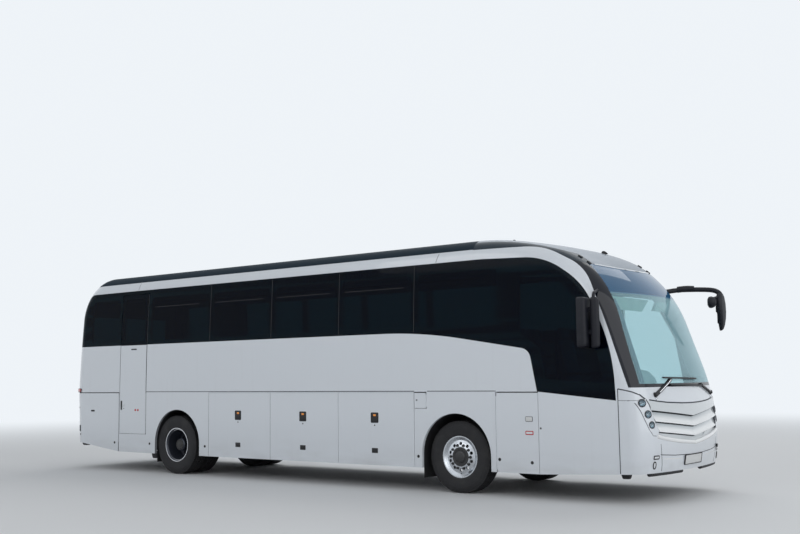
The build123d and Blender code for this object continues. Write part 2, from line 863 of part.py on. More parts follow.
top_panel = skin(field & vee(louvres[0][0] + louvres[0][1] + louvre_gap, screen_foot_z), door_inner)
chin_panel = skin(field & vee(cab_skirt_z, louvres[-1][0] - lip_h), door_inner, lamp_inner)
chin_panel = trimmed(chin_panel, front_prism(inlet, *nose_span))
backing = skin(field, wall_inner, door_inner)
louvre_faces = joined(*scoops) & skin(field, door_inner)
write(joined(backing, top_panel, chin_panel, louvre_faces), "louvre_grille")


def inside_box(x0, x1, z0, z1):
    """A slab that fills the inside of the shell between some limits."""
    with BuildPart() as slab:
        add(wall_inner)
        with BuildSketch(Plane.XY.offset(z0)):
            with Locations(((x0 + x1) / 2, 0)):
                Rectangle(x1 - x0, 2 * reach)
        extrude(amount=z1 - z0, mode=Mode.INTERSECT)
    return slab.part


# Floor, stepwells, luggage bay and bulkheads
deck_top_z = deck_z + floor_t
cab_floor_top_z = cab_floor_z + floor_t
bay_x0, bay_x1 = locker_x[0], locker_x[-1]


def stepwell(x0, x1, side, y0, y1, z0, top_z):
    """An open box under the floor with one tread in it and no wall towards its door."""
    with BuildPart() as well:
        add(side_block(x0, x1, side, y0, y1, z0, top_z))
        hollow = side_block(x0 + plate_t, x1 - plate_t, side, y0 + plate_t, y1 + plate_t, z0 + plate_t, top_z + lap)
        add(hollow, mode=Mode.SUBTRACT)
        add(side_block(x0 + plate_t, x1 - plate_t, side, y0 + plate_t, y0 + tread_w, z0, (z0 + top_z) / 2))
    return well.part


right_well_hole = side_block(well_right[0], well_right[1], RIGHT, well_right[2], reach, 0, 2 * deck_z)
left_well_hole = side_block(well_left[0], well_left[1], LEFT, well_left[2], reach, 0, 2 * cab_floor_z)
floor = joined(
    trimmed(inside_box(deck_rear_x, riser_x, deck_z, deck_top_z), right_well_hole),
    trimmed(inside_box(riser_x, ahead_x, cab_floor_z, cab_floor_top_z), left_well_hole),
    inside_box(riser_x - plate_t, riser_x, cab_floor_z, deck_z),
    stepwell(well_left[0], well_left[1], LEFT, *well_left[2:], cab_floor_top_z),
    stepwell(well_right[0], well_right[1], RIGHT, *well_right[2:], deck_top_z),
)
write(floor, "floor_deck")
write(block(bay_x0, bay_x1, -bay_y, bay_y, bay_floor_z, bay_floor_z + bay_floor_t), "luggage_floor")
foot_z = bay_floor_z + bay_floor_t
# Each bulkhead: place along the coach and height of its foot
bulkhead_table = [
    (well_right[0] - 2 * plate_t, foot_z),
    (arches[0][0] - liner_t - flap_t - plate_t, foot_z),
    (bay_x0 - plate_t, bay_floor_z),
    (bay_x1, bay_floor_z),
    (arches[1][1] + liner_t + shut_gap, foot_z),
]
rails = [side_block(-ahead_x, ahead_x, s, rail_y, rail_y + rail_w, rail_z, rail_z + rail_h) for s in (RIGHT, LEFT)]
bulkheads = [trimmed(inside_box(x, x + plate_t, foot, deck_z), *rails) for x, foot in bulkhead_table]
write(joined(*bulkheads), "bulkheads")

# Chassis modules behind and before the luggage bay, and the engine. Each module: from, to, cross members.
frame_table = [
    (-5950, bay_x0 - plate_t, (-5940, -4600, -2400)),
    (bay_x1 + plate_t, 5500, (2400, 3700, 5400)),
]
frame_parts = []
for x0, x1, member_xs in frame_table:
    for side in (RIGHT, LEFT):
        frame_parts.append(side_block(x0, x1, side, rail_y, rail_y + rail_w, rail_z, rail_z + rail_h))
    for x in member_xs:
        low_z, high_z = rail_z + member_inset, rail_z + rail_h - member_inset
        frame_parts.append(block(x, x + member_w, -rail_y, rail_y, low_z, high_z))
write(joined(*frame_parts), "chassis_frame")
write(block(*engine_x, -rail_y, rail_y, *engine_z), "engine")

# Front axle: a dropped beam with an eye and a kingpin at each end, and its spring columns
with BuildPart() as beam:
    with BuildSketch(Plane.YZ.offset(front_axle_x - beam_w / 2)):
        with BuildLine():
            halves = [(RIGHT, beam_half), (LEFT, beam_half[::-1])]
            Polyline(*[(side * y, z) for side, half in halves for y, z in half], close=True)
        make_face()
    extrude(amount=beam_w)
parts = [beam.part]
for side in (RIGHT, LEFT):
    pin_y = side * kingpin_y
    parts.append(rod((front_axle_x, pin_y, axle_z - eye_h / 2), (0, 0, 1), eye_h, eye_r))
    parts.append(rod((front_axle_x, pin_y, axle_z - pin_h / 2), (0, 0, 1), pin_h, kingpin_r))
    parts.append(rod((front_axle_x, side * spring_y, spring_foot_z), (0, 0, 1), rail_z - spring_foot_z, spring_r))
write(joined(*parts), "front_axle")

# Rear axle: the housing with its differential, the half shafts' tubes, columns and saddles
parts = [
    rod((rear_axle_x, -housing_y, tyre_r), (0, 1, 0), 2 * housing_y, housing_r),
    rod((rear_axle_x, -shaft_y, tyre_r), (0, 1, 0), 2 * shaft_y, shaft_r),
    rod((rear_axle_x, -differential_w / 2, tyre_r), (0, 1, 0), differential_w, differential_r),
]
for side in (RIGHT, LEFT):
    parts.append(rod((rear_axle_x, side * spring_y, tyre_r), (0, 0, 1), rail_z - tyre_r, spring_r))
    y0, y1 = spring_y - saddle_w / 2, spring_y + saddle_w / 2
    parts.append(side_block(rear_axle_x - saddle_l / 2, rear_axle_x + saddle_l / 2, side, y0, y1, jack_z, tyre_r))
write(joined(*parts), "rear_axle")

# Wheel arch liners, with a mud flap behind each
liners = []
flaps = []
for side in (RIGHT, LEFT):
    for start, end in arches:
        radius = (end - start) / 2
        centre = ((start + end) / 2, arch_top_z - radius)
        with BuildSketch(Plane.XZ.offset(-side * liner_y)) as tunnel:
            with Locations(centre):
                Circle(radius + liner_t)
                with Locations((0, -radius / 2)):
                    Rectangle(2 * (radius + liner_t), radius)
                Circle(radius, mode=Mode.SUBTRACT)
                with Locations((0, -radius)):
                    Rectangle(2 * radius, 2 * radius, mode=Mode.SUBTRACT)
            with Locations((centre[0], skirt_z + liner_gap_z - radius)):
                Rectangle(3 * radius, 2 * radius, mode=Mode.SUBTRACT)
        with BuildSketch(Plane.XZ.offset(-side * liner_y)) as plate:
            with Locations(centre):
                Circle(radius + liner_t)
            with Locations((centre[0], rail_z - radius)):
                Rectangle(3 * radius, 2 * radius, mode=Mode.SUBTRACT)
        with BuildPart() as liner:
            extrude(tunnel.sketch, amount=-side * (wall_inner.bounding_box().max.Y - liner_y))
            extrude(plate.sketch, amount=side * liner_t)
        liners.append(liner.part)
        flap_x = start - liner_t
        flaps.append(side_block(flap_x - flap_t, flap_x, side, *flap_y, *flap_z))
write(joined(*liners), "wheel_liners")
write(joined(*flaps), "mud_flaps")


def turned(points, y, side, x):
    """A ring turned about a wheel's axis, from points of distance outwards and radius."""
    with BuildPart() as ring:
        with BuildSketch(Plane(origin=(x, side * y, tyre_r), x_dir=(0, side, 0), z_dir=(side, 0, 0))):
            with BuildLine():
                Polyline(*points, close=True)
            make_face()
        revolve(axis=Axis((x, 0, tyre_r), (0, 1, 0)))
    return ring.part


def pierced(wheel, x, side, y0, y1):
    """A wheel with its ring of hand holes, cut between two distances from the middle of the coach."""
    with BuildPart() as rim:
        add(wheel)
        with BuildSketch(Plane(origin=(x, side * y0, tyre_r), z_dir=(0, side, 0))):
            with PolarLocations(hand_hole_ring_r, hand_hole_count):
                Circle(hand_hole_r)
        extrude(amount=y1 - y0, mode=Mode.SUBTRACT)
    return rim.part


# Wheels: a tyre on each rim, twins at the rear. Points are distance outwards and radius.
half_w = tyre_w / 2
shoulder = [(half_w, 400), (140, 470), (118, tyre_r - 6)]
sidewall = [(118, rim_r), (134, 330)] + shoulder
tyre_points = sidewall + [(0, tyre_r)] + [(-y, r) for y, r in sidewall[::-1]]
flange = [(118, rim_r), (126, 300), (132, 300), (132, 286)]
front_rim_points = (
    [(-118, rim_r)]
    + flange
    + [(112, 262), (96, 240), (104, 200), (118, 150), (118, 0), (106, 0)]
    + [(106, stub_r + turn_clear), (10, stub_r + turn_clear), (10, 80), (80, 130), (80, 240), (96, 272), (-118, 272)]
)
outer_rim_points = (
    [(-118, rim_r)]
    + flange
    + [(112, 272), (-100, 262), (-157, 250), (-157, 125), (40, 110), (60, 90), (60, 0), (48, 0)]
    + [(48, shaft_r + turn_clear), (-170, shaft_r + turn_clear), (-170, 272), (-118, 272)]
)
inner_rim_points = [
    (-118, rim_r), (118, rim_r), (118, 272), (157, 262), (170, 262),
    (170, 120), (157, 120), (157, 240), (100, 262), (-118, 272),
]
for side in (RIGHT, LEFT):
    word = names[side]
    write(turned(tyre_points, front_wheel_y, side, front_axle_x), f"front_tyre_{word}")
    front_rim = turned(front_rim_points, front_wheel_y, side, front_axle_x)
    hole_y = front_wheel_y + disc_y
    write(pierced(front_rim, front_axle_x, side, hole_y, hole_y + disc_y), f"front_rim_{word}")
    tyres = [turned(tyre_points, y, side, rear_axle_x) for y in (rear_outer_y, rear_inner_y)]
    write(joined(*tyres), f"rear_tyres_{word}")
    rear_rims = joined(
        turned(outer_rim_points, rear_outer_y, side, rear_axle_x),
        turned(inner_rim_points, rear_inner_y, side, rear_axle_x),
    )
    twin_y = (rear_outer_y + rear_inner_y) / 2
    write(pierced(rear_rims, rear_axle_x, side, twin_y - plate_t, twin_y + plate_t), f"rear_rims_{word}")
    # Knuckle: a fork on the kingpin that carries the stub axle
    fork = side_block(
        front_axle_x - fork_w / 2, front_axle_x + fork_w / 2, side, kingpin_y - fork_w / 2, kingpin_y + fork_out,
        axle_z - fork_h / 2, axle_z + fork_h / 2,
    )
    mouth = side_block(
        front_axle_x - fork_w, front_axle_x + fork_w, side, kingpin_y - fork_w, kingpin_y + mouth_out,
        axle_z - mouth_h / 2, axle_z + mouth_h / 2,
    )
    stub = rod((front_axle_x, side * (kingpin_y + mouth_out), axle_z), (0, side, 0), stub_l, stub_r)
    bore = rod((front_axle_x, side * kingpin_y, axle_z - fork_h), (0, 0, 1), 2 * fork_h, kingpin_r + turn_clear)
    write(trimmed(joined(fork, stub), mouth, bore), f"knuckle_{word}")


def cross_section(points, y0, width):
    """A side-view outline as a solid that lies across the coach, from y0 towards the left."""
    with BuildPart() as solid:
        with BuildSketch(Plane.XZ.offset(-y0)):
            with BuildLine():
                Polyline(*points, close=True)
            make_face()
        extrude(amount=-width)
    return solid.part


# Inside: seats, driver's place, dashboard and racks
seats = []
for row in range(seat_rows):
    x = first_seat_x + row * seat_pitch
    profile = [(x + a, deck_top_z + b) for a, b in seat_profile]
    for side in (RIGHT, LEFT):
        if side == RIGHT and well_right[0] - lap < x < well_right[1] + 3 * lap:
            continue
        inner_y, outer_y = seat_y
        seats.append(cross_section(profile, inner_y if side == LEFT else -outer_y, outer_y - inner_y))
write(joined(*seats), "passenger_seats")
profile = [(driver_x + a, cab_floor_top_z + b) for a, b in seat_profile]
write(cross_section(profile, driver_y[0], driver_y[1] - driver_y[0]), "driver_seat")
desk = cross_section(desk_points, -reach, 2 * reach)
binnacle = cross_section(binnacle_points, binnacle_y[0], binnacle_y[1] - binnacle_y[0])
write(joined(desk & wall_inner, binnacle), "dashboard")
with BuildPart() as steering_wheel:
    with BuildSketch(Plane(origin=wheel_centre, z_dir=wheel_lean)):
        Circle(wheel_r)
        Circle(wheel_r - grip_w, mode=Mode.SUBTRACT)
        Rectangle(2 * wheel_r - grip_w, spoke_w)
        Circle(boss_r)
    extrude(amount=grip_w)
column = rod(wheel_centre, Vector(*wheel_lean) * -1, column_l, column_r)
write(trimmed(joined(steering_wheel.part, column), binnacle), "steering_wheel")
racks = []
for side in (RIGHT, LEFT):
    with BuildPart() as rack:
        with BuildSketch(Plane.YZ.offset(rack_x[0])):
            with BuildLine():
                Polyline(*[(side * y, z) for y, z in rack_points], close=True)
            make_face()
        extrude(amount=rack_x[1] - rack_x[0])
        add(wall_inner, mode=Mode.INTERSECT)
    racks.append(rack.part)
write(joined(*racks), "parcel_racks")

# Passenger door at the left front, with its two panes
with BuildSketch(Plane.XZ) as cab_panes:
    for pane in door_panes:
        with BuildLine():
            Polyline(*pane, close=True)
        make_face()
pane_space = side_prism(cab_panes.sketch, LEFT)
write(trimmed(skin(side_prism(cab_door_opening, LEFT), wall_inner), pane_space), "passenger_door")
write(skin(pane_space, glass_inner), "passenger_door_glass")


def tube(points, radius, bend):
    """A bent round arm."""
    with BuildPart() as arm:
        with BuildLine() as path:
            FilletPolyline(*points, radius=bend)
        with BuildSketch(Plane(origin=points[0], z_dir=path.line % 0)):
            Circle(radius)
        sweep()
    return arm.part


def mirror_case(x0, x1, y0, y1, z0, z1):
    """A mirror's housing, rounded all over."""
    with BuildPart() as case:
        add(block(x0, x1, y0, y1, z0, z1))
        fillet(case.edges(), (x1 - x0) * 0.4)
    return case.part


# Mirrors: the left one stands ahead of its pillar on a long arm, the right one beside its pillar
foot = cross_section(left_foot_points, left_foot_y[0], left_foot_y[1] - left_foot_y[0])
left_bar = tube(left_arm_points, left_arm_r, arm_bend_r)
left_fixed = [trimmed(piece, outer) for piece in (foot, left_bar)]
write(joined(*left_fixed, *[mirror_case(*case) for case in left_cases]), "mirror_left")
right_bar = trimmed(tube(right_arm_points, right_arm_r, arm_bend_r), outer)
clamps = [block(*clamp) for clamp in right_clamps]
write(joined(right_bar, *clamps, *[mirror_case(*case) for case in right_cases]), "mirror_right")


def bar_outline(start, end, width):
    """The four corners of a straight bar in front view."""
    along = (Vector(*end) - Vector(*start)).normalized()
    beside = Vector(-along.Y, along.X) * (width / 2)
    first, last = Vector(*start), Vector(*end)
    return [(corner.X, corner.Y) for corner in (first - beside, last - beside, last + beside, first + beside)]


# Wipers: an arm and a blade each, just off the glass
wiper_space = skin(across(side_box(*nose_span, cab_floor_z, deck_z + 4 * lap)), outer, hull(-wiper_t))
wipers = [joined(*[front_prism(bar_outline(*bar), *nose_span) for bar in bars]) & wiper_space for bars in wiper_bars]
write(joined(*wipers), "wipers")
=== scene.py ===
"""Looks of a white two-axle coach: its paint, glass, lamps, wheels, cabin and the fittings on its skin."""

import json
import logging
import math
from dataclasses import dataclass
from enum import Enum
from functools import partial
from itertools import product
from typing import Callable, Iterable, Sequence

import bmesh
import bpy
import numpy as np
from mathutils import Matrix, Vector
from mathutils.bvhtree import BVHTree

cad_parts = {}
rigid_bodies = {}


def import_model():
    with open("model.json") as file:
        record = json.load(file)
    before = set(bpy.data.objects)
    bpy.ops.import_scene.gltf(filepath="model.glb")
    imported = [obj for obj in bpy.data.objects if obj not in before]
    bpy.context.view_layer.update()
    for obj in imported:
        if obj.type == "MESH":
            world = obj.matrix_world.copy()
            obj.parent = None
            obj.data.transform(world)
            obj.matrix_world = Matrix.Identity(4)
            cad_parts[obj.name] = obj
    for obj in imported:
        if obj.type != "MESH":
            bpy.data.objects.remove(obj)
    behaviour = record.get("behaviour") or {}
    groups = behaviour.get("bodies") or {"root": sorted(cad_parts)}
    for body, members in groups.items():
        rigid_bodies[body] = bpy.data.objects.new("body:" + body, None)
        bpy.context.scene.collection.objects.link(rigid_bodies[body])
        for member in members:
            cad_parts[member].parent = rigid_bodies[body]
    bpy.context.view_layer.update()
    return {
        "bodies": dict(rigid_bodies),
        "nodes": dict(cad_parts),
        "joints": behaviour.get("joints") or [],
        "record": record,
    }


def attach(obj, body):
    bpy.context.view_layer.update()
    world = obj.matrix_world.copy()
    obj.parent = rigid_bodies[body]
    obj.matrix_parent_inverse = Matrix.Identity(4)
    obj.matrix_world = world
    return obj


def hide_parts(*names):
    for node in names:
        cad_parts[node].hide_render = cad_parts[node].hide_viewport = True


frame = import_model()
log = logging.getLogger("coach")

Point = tuple[float, float, float]
Pair = tuple[float, float]
Colour = tuple[float, float, float]

COACH = "coach"
# Farther off than any part of the coach
BEYOND = 9.0
# Points closer together than this become one
WELD = 1e-5
# How far the foot of a fitting stands off the skin under it
FOOT = 0.0002


class Side(Enum):
    """A side of the coach, valued by the sign of its Y."""

    RIGHT = -1
    LEFT = 1

    @property
    def word(self) -> str:
        """The side's name as the pieces spell it."""
        return self.name.lower()


# Shader trees


def dimmed(colour: Colour, share: float) -> Colour:
    """A share of a colour."""
    return tuple(c * share for c in colour)


class Signal:
    """A value socket of a shader tree, written in plain arithmetic."""

    def __init__(self, bench: "Bench", socket: bpy.types.NodeSocket) -> None:
        """Wrap a socket of a bench's tree."""
        self.bench = bench
        self.socket = socket

    def _math(self, operation: str, *values: "Signal | float") -> "Signal":
        """Add one Math node.

        Args:
            operation: The node's operation.
            values: Its inputs, in order.

        Returns:
            The node's result.
        """
        return self.bench.result("ShaderNodeMath", {"operation": operation}, dict(enumerate(values)))

    def __add__(self, other: "Signal | float") -> "Signal":
        """Sum."""
        return self._math("ADD", self, other)

    __radd__ = __add__

    def __sub__(self, other: "Signal | float") -> "Signal":
        """Difference."""
        return self._math("SUBTRACT", self, other)

    def __rsub__(self, other: "Signal | float") -> "Signal":
        """Difference from a number."""
        return self._math("SUBTRACT", other, self)

    def __mul__(self, other: "Signal | float") -> "Signal":
        """Product."""
        return self._math("MULTIPLY", self, other)

    __rmul__ = __mul__

    def __gt__(self, other: "Signal | float") -> "Signal":
        """1 where this is greater, else 0."""
        return self._math("GREATER_THAN", self, other)

    def __lt__(self, other: "Signal | float") -> "Signal":
        """1 where this is less, else 0."""
        return self._math("LESS_THAN", self, other)

    def __abs__(self) -> "Signal":
        """Size without sign."""
        return self._math("ABSOLUTE", self)

    def __mod__(self, other: float) -> "Signal":
        """Remainder that is never negative."""
        return self._math("FLOORED_MODULO", self, other)

    def ramp(self, low: float, high: float) -> "Signal":
        """A smooth rise from 0 at low to 1 at high.

        Args:
            low: Where the rise starts.
            high: Where it ends.

        Returns:
            The eased value.
        """
        return self.bench.result(
            "ShaderNodeMapRange",
            {"interpolation_type": "SMOOTHSTEP"},
            {"Value": self, "From Min": low, "From Max": high},
        )


def grow(tree: bpy.types.NodeTree, kind: str, settings: dict | None, values: dict | None) -> bpy.types.Node:
    """Add a node to a tree.

    Args:
        tree: The tree.
        kind: The node's type.
        settings: Its properties, set before its sockets are.
        values: Its sockets by name or index, each a number, colour, Signal or socket.

    Returns:
        The node.
    """
    node = tree.nodes.new(kind)
    for key, value in (settings or {}).items():
        setattr(node, key, value)
    for key, value in (values or {}).items():
        if isinstance(value, Signal):
            value = value.socket
        if isinstance(value, bpy.types.NodeSocket):
            tree.links.new(value, node.inputs[key])
        elif isinstance(value, (tuple, list)) and len(value) == 3 and node.inputs[key].type == "RGBA":
            node.inputs[key].default_value = (*value, 1.0)
        else:
            node.inputs[key].default_value = value
    return node


class Bench:
    """A material's tree under construction."""

    def __init__(self, name: str) -> None:
        """Start an empty material.

        Args:
            name: The material's name.
        """
        self.material = bpy.data.materials.new(name)
        self.material.use_nodes = True
        self.tree = self.material.node_tree
        self.tree.nodes.clear()
        self.output = self.tree.nodes.new("ShaderNodeOutputMaterial")

    def add(self, kind: str, settings: dict | None = None, values: dict | None = None) -> bpy.types.Node:
        """Add a node, with its settings and its sockets' values."""
        return grow(self.tree, kind, settings, values)

    def result(self, kind: str, settings: dict | None = None, values: dict | None = None, out=0) -> Signal:
        """Add a node and take one of its results.

        Args:
            kind: The node's type.
            settings: Its properties.
            values: Its sockets.
            out: The name or index of the result.

        Returns:
            The result.
        """
        return Signal(self, self.add(kind, settings, values).outputs[out])

    def vector(self, operation: str, *values: Signal | Point, out: int | str = 0) -> Signal:
        """Add one Vector Math node and take its result, which is at Value where it is a number."""
        return self.result("ShaderNodeVectorMath", {"operation": operation}, dict(enumerate(values)), out)

    def place(self) -> Signal:
        """The point on the piece, in metres."""
        return self.result("ShaderNodeTexCoord", out="Object")

    def axes(self) -> tuple[Signal, Signal, Signal]:
        """The point's x, y and z."""
        node = self.add("ShaderNodeSeparateXYZ", values={0: self.place()})
        return tuple(Signal(self, node.outputs[i]) for i in range(3))

    def noise(self, scale: float, detail: float = 3.0, stretch: Point = (1, 1, 1)) -> Signal:
        """Soft random values from 0 to 1.

        Args:
            scale: Features a metre.
            detail: Octaves.
            stretch: A factor on each axis.

        Returns:
            The noise.
        """
        at = self.result("ShaderNodeMapping", {}, {"Vector": self.place(), "Scale": stretch})
        return self.result("ShaderNodeTexNoise", {}, {"Vector": at, "Scale": scale, "Detail": detail}, "Fac")

    def mix(self, factor: Signal | float, first, second) -> Signal:
        """Blend two colours.

        Args:
            factor: 0 for the first, 1 for the second.
            first: A colour or Signal.
            second: A colour or Signal.

        Returns:
            The blend.
        """
        return self.result("ShaderNodeMix", {"data_type": "RGBA"}, {0: factor, 6: first, 7: second}, 2)

    def bump(self, height: Signal, strength: float, distance: float) -> Signal:
        """A normal from a height.

        Args:
            height: The height, 0 to 1.
            strength: How much of it shows.
            distance: Its size in metres.

        Returns:
            The normal.
        """
        values = {"Height": height, "Strength": strength, "Distance": distance}
        return self.result("ShaderNodeBump", {}, values)

    def principled(self, **values) -> bpy.types.Node:
        """A Principled shader whose sockets are given by name, with _ for a space."""
        return self.add("ShaderNodeBsdfPrincipled", None, {k.replace("_", " "): v for k, v in values.items()})

    def finish(self, shader: bpy.types.Node) -> bpy.types.Material:
        """Send a shader to the output.

        Args:
            shader: The node whose first result is the surface.

        Returns:
            The material.
        """
        self.tree.links.new(shader.outputs[0], self.output.inputs["Surface"])
        return self.material


@dataclass(frozen=True)
class Finish:
    """A surface finish. Each kind has its own tree, made once."""

    name: str
    made = {}

    def tree(self, bench: Bench) -> bpy.types.Node:
        """Build the tree and return its last shader."""
        raise NotImplementedError

    def material(self) -> bpy.types.Material:
        """The finish as a material, built once."""
        if self.name not in self.made:
            bench = Bench(self.name)
            self.made[self.name] = bench.finish(self.tree(bench))
        return self.made[self.name]


@dataclass(frozen=True)
class ShellPaint(Finish):
    """Gloss paint outside and grained lining inside, for the panels of the shell."""

    # A darker, bluer white than the paint's own: the coach's white with some painted shade
    colour: Colour = (0.74, 0.78, 0.83)
    lining: Colour = (0.24, 0.25, 0.27)
    grime: Colour = (0.42, 0.42, 0.42)
    grime_top: float = 0.75
    strip: float = BEYOND
    strip_colour: Colour = (0.01, 0.022, 0.034)
    strip_inner: float = 0.84
    shine: float = 0.5
    core: Point = (0.0, 0.0, 1.9)

    def tree(self, bench: Bench) -> bpy.types.Node:
        """Paint with road film low down and a dark strip high up, and the lining where it faces inwards."""
        _, y, z = bench.axes()
        outwards = bench.vector("SUBTRACT", bench.place(), self.core)
        normal = bench.result("ShaderNodeTexCoord", out="Normal")
        outside = bench.vector("DOT_PRODUCT", normal, outwards, out="Value") > 0
        film = (1 - z.ramp(0.3, self.grime_top)) * bench.noise(3.0, 5, (0.4, 1, 1.5)).ramp(0.3, 0.8)
        streaks = bench.noise(2.2, 4, (6, 6, 0.35)).ramp(0.55, 0.8) * 0.05
        paint = bench.mix(film * 0.35 + streaks, self.colour, self.grime)
        strip = (z > self.strip) * (abs(y) > self.strip_inner)
        paint = bench.mix(strip, paint, self.strip_colour)
        grain = bench.noise(420, 2)
        lining = bench.mix(grain, dimmed(self.lining, 0.85), self.lining)
        peel = bench.noise(90, 2)
        return bench.principled(
            Base_Color=bench.mix(outside, lining, paint),
            Roughness=0.75 - outside * 0.47 + film * 0.25 + strip * 0.4,
            Specular_IOR_Level=self.shine,
            Coat_Weight=outside * 0.9 - strip * 0.9,
            Coat_Roughness=0.04,
            Normal=bench.bump(peel, 0.04, 0.0004),
        )


@dataclass(frozen=True)
class Paint(Finish):
    """Gloss or satin paint on a single part."""

    colour: Colour = (0.8, 0.8, 0.8)
    rough: float = 0.3
    coat: float = 0.8
    metal: float = 0.0
    flake: float = 0.0

    def tree(self, bench: Bench) -> bpy.types.Node:
        """A slightly cloudy colour under a clear coat."""
        cloud = bench.noise(1.7, 4)
        flake = bench.noise(900, 1)
        shade = cloud * 0.5 + flake * self.flake
        return bench.principled(
            Base_Color=bench.mix(shade, dimmed(self.colour, 0.92), self.colour),
            Roughness=cloud * 0.08 + self.rough,
            Metallic=self.metal,
            Coat_Weight=self.coat,
            Coat_Roughness=0.05,
            Normal=bench.bump(bench.noise(80, 2), 0.05, 0.0004),
        )


@dataclass(frozen=True)
class DomePaint(Finish):
    """Silver paint with a dark wedge that tapers forwards along each shoulder."""

    colour: Colour = (0.26, 0.3, 0.35)
    wedge: Colour = (0.01, 0.022, 0.034)
    start: Point = (3.345, 0.88, 3.615)
    fall: float = 0.115

    def tree(self, bench: Bench) -> bpy.types.Node:
        """The wedge lies under a falling curve in side view."""
        x, y, z = bench.axes()
        along = x - self.start[0]
        under = z < (self.start[2] - along * along * self.fall)
        dark = under * (abs(y) > self.start[1])
        cloud = bench.noise(1.7, 4)
        silver = bench.mix(cloud * 0.5, dimmed(self.colour, 0.92), self.colour)
        return bench.principled(
            Base_Color=bench.mix(dark, silver, self.wedge),
            Roughness=cloud * 0.06 + 0.4,
            Metallic=0.2 - dark * 0.2,
            Specular_IOR_Level=0.25,
            Coat_Weight=0.12,
            Coat_Roughness=0.1,
            Normal=bench.bump(bench.noise(80, 2), 0.05, 0.0004),
        )


@dataclass(frozen=True)
class LouvrePaint(Finish):
    """White slats with painted light and shade: whiter than the body paint, partly as a painted highlight on
    their lower halves, with painted shade on their upper halves, greyer above the top gap and below the lowest
    one, and black painted shadow in the gaps between them.
    """

    colour: Colour = (0.93, 0.95, 0.96)
    # Painted shade: the grey of the slats' upper halves, and of the panel above and the strip below them
    shade: Colour = (0.3, 0.36, 0.4)
    # Painted shadow: the black in the slots between the slats
    gap: Colour = (0.012, 0.016, 0.02)
    lean: float = 0.0928
    gaps: tuple[Pair, ...] = ((1.088, 1.106), (0.95, 0.9665), (0.8215, 0.8365))
    slats: tuple[Pair, ...] = ((1.0, 1.088), (0.872, 0.95))

    def tree(self, bench: Bench) -> bpy.types.Node:
        """Bands of painted shade and shadow that rise away from the middle as the slats do."""
        _, y, z = bench.axes()
        level = z - abs(y) * self.lean
        # Where the black painted shadow of the slots goes
        dark = 0.0
        for low, high in self.gaps:
            dark = (level > low) * (level < high) + dark
        # Painted shade that rises up each slat towards its top
        shade = 0.0
        for low, high in self.slats:
            shade = level.ramp(low, high) * (level < high) + shade
        rest = (level > self.gaps[0][1]) + (level < self.gaps[-1][0])
        paint = bench.mix(shade * 0.75 + rest * 0.45, self.colour, self.shade)
        # Painted shade and the slots' painted shadow over the white
        return bench.principled(
            Base_Color=bench.mix(dark, paint, self.gap),
            Roughness=dark * 0.4 + 0.24,
            Coat_Weight=0.9 - dark * 0.9,
            Normal=bench.bump(bench.noise(80, 2), 0.05, 0.0004),
        )


@dataclass(frozen=True)
class Moulded(Finish):
    """Moulded plastic with a fine grain."""

    colour: Colour = (0.02, 0.02, 0.022)
    rough: float = 0.45
    grain: float = 500.0
    depth: float = 0.0003

    def tree(self, bench: Bench) -> bpy.types.Node:
        """Grain in the bump and a little wear in the colour."""
        grain = bench.noise(self.grain, 2)
        wear = bench.noise(5, 5)
        worn = tuple(min(1.0, c * 1.25 + 0.008) for c in self.colour)
        return bench.principled(
            Base_Color=bench.mix(wear.ramp(0.45, 0.8), self.colour, worn),
            Roughness=grain * 0.12 + self.rough,
            Specular_IOR_Level=0.3,
            Normal=bench.bump(grain, 0.35, self.depth),
        )


@dataclass(frozen=True)
class Metal(Finish):
    """Bare, polished or cast metal."""

    colour: Colour = (0.75, 0.76, 0.78)
    rough: float = 0.2
    brushed: float = 0.0
    dull: float = 0.0

    def tree(self, bench: Bench) -> bpy.types.Node:
        """Brushed lines or a dull film over metal."""
        line = bench.noise(60, 3, (1, 14, 1))
        film = bench.noise(7, 6).ramp(0.35, 0.75) * self.dull
        return bench.principled(
            Base_Color=bench.mix(film, self.colour, (0.22, 0.2, 0.18)),
            Metallic=1.0 - film * 0.8,
            Roughness=line * self.brushed + self.rough + film * 0.4,
            Normal=bench.bump(line, 0.1 + self.brushed, 0.0002),
        )


@dataclass(frozen=True)
class Pane(Finish):
    """Glass that passes some light and mirrors the rest."""

    tint: Colour = (0.5, 0.56, 0.55)
    body: Colour = (0.01, 0.02, 0.03)
    opacity: float = 0.1
    mirror: float = 1.0
    band: float = BEYOND
    edge: float = BEYOND
    foot: float = 0.0
    frit: Colour = (0.003, 0.005, 0.012)
    shade: Colour = (0.02, 0.13, 0.28)
    widest_z: float = 1.5
    narrowing: float = 0.068

    def tree(self, bench: Bench) -> bpy.types.Node:
        """A tinted clear layer behind a mirror that grows at low angles, with a black printed edge."""
        clear = bench.add("ShaderNodeBsdfTransparent", values={"Color": self.tint})
        wave = bench.noise(0.9, 2, (1, 1, 0.6))
        facing = bench.result("ShaderNodeLayerWeight", None, {"Blend": 0.5}, "Facing")
        square = facing * facing
        _, y, z = bench.axes()
        above = z - self.widest_z
        printed = (abs(y) > (self.edge - above * above * self.narrowing)) + (z < self.foot)
        header = z.ramp(self.band, self.band + 0.05)
        # On the windscreen this body colour is a painted reflection of bright sky
        body = bench.mix(header, self.body, self.shade) if self.band < BEYOND else self.body
        gloss = bench.principled(
            Base_Color=bench.mix(printed, body, self.frit),
            Roughness=bench.noise(4, 5).ramp(0.4, 0.9) * 0.05 + 0.01,
            Specular_IOR_Level=0.4,
            Normal=bench.bump(wave, 0.12, 0.004),
        )
        factor = square * square * facing * (0.96 * self.mirror) + 0.04 * self.mirror + self.opacity
        factor = factor + header * 0.42 + printed
        return bench.add("ShaderNodeMixShader", values={0: factor, 1: clear.outputs[0], 2: gloss.outputs[0]})


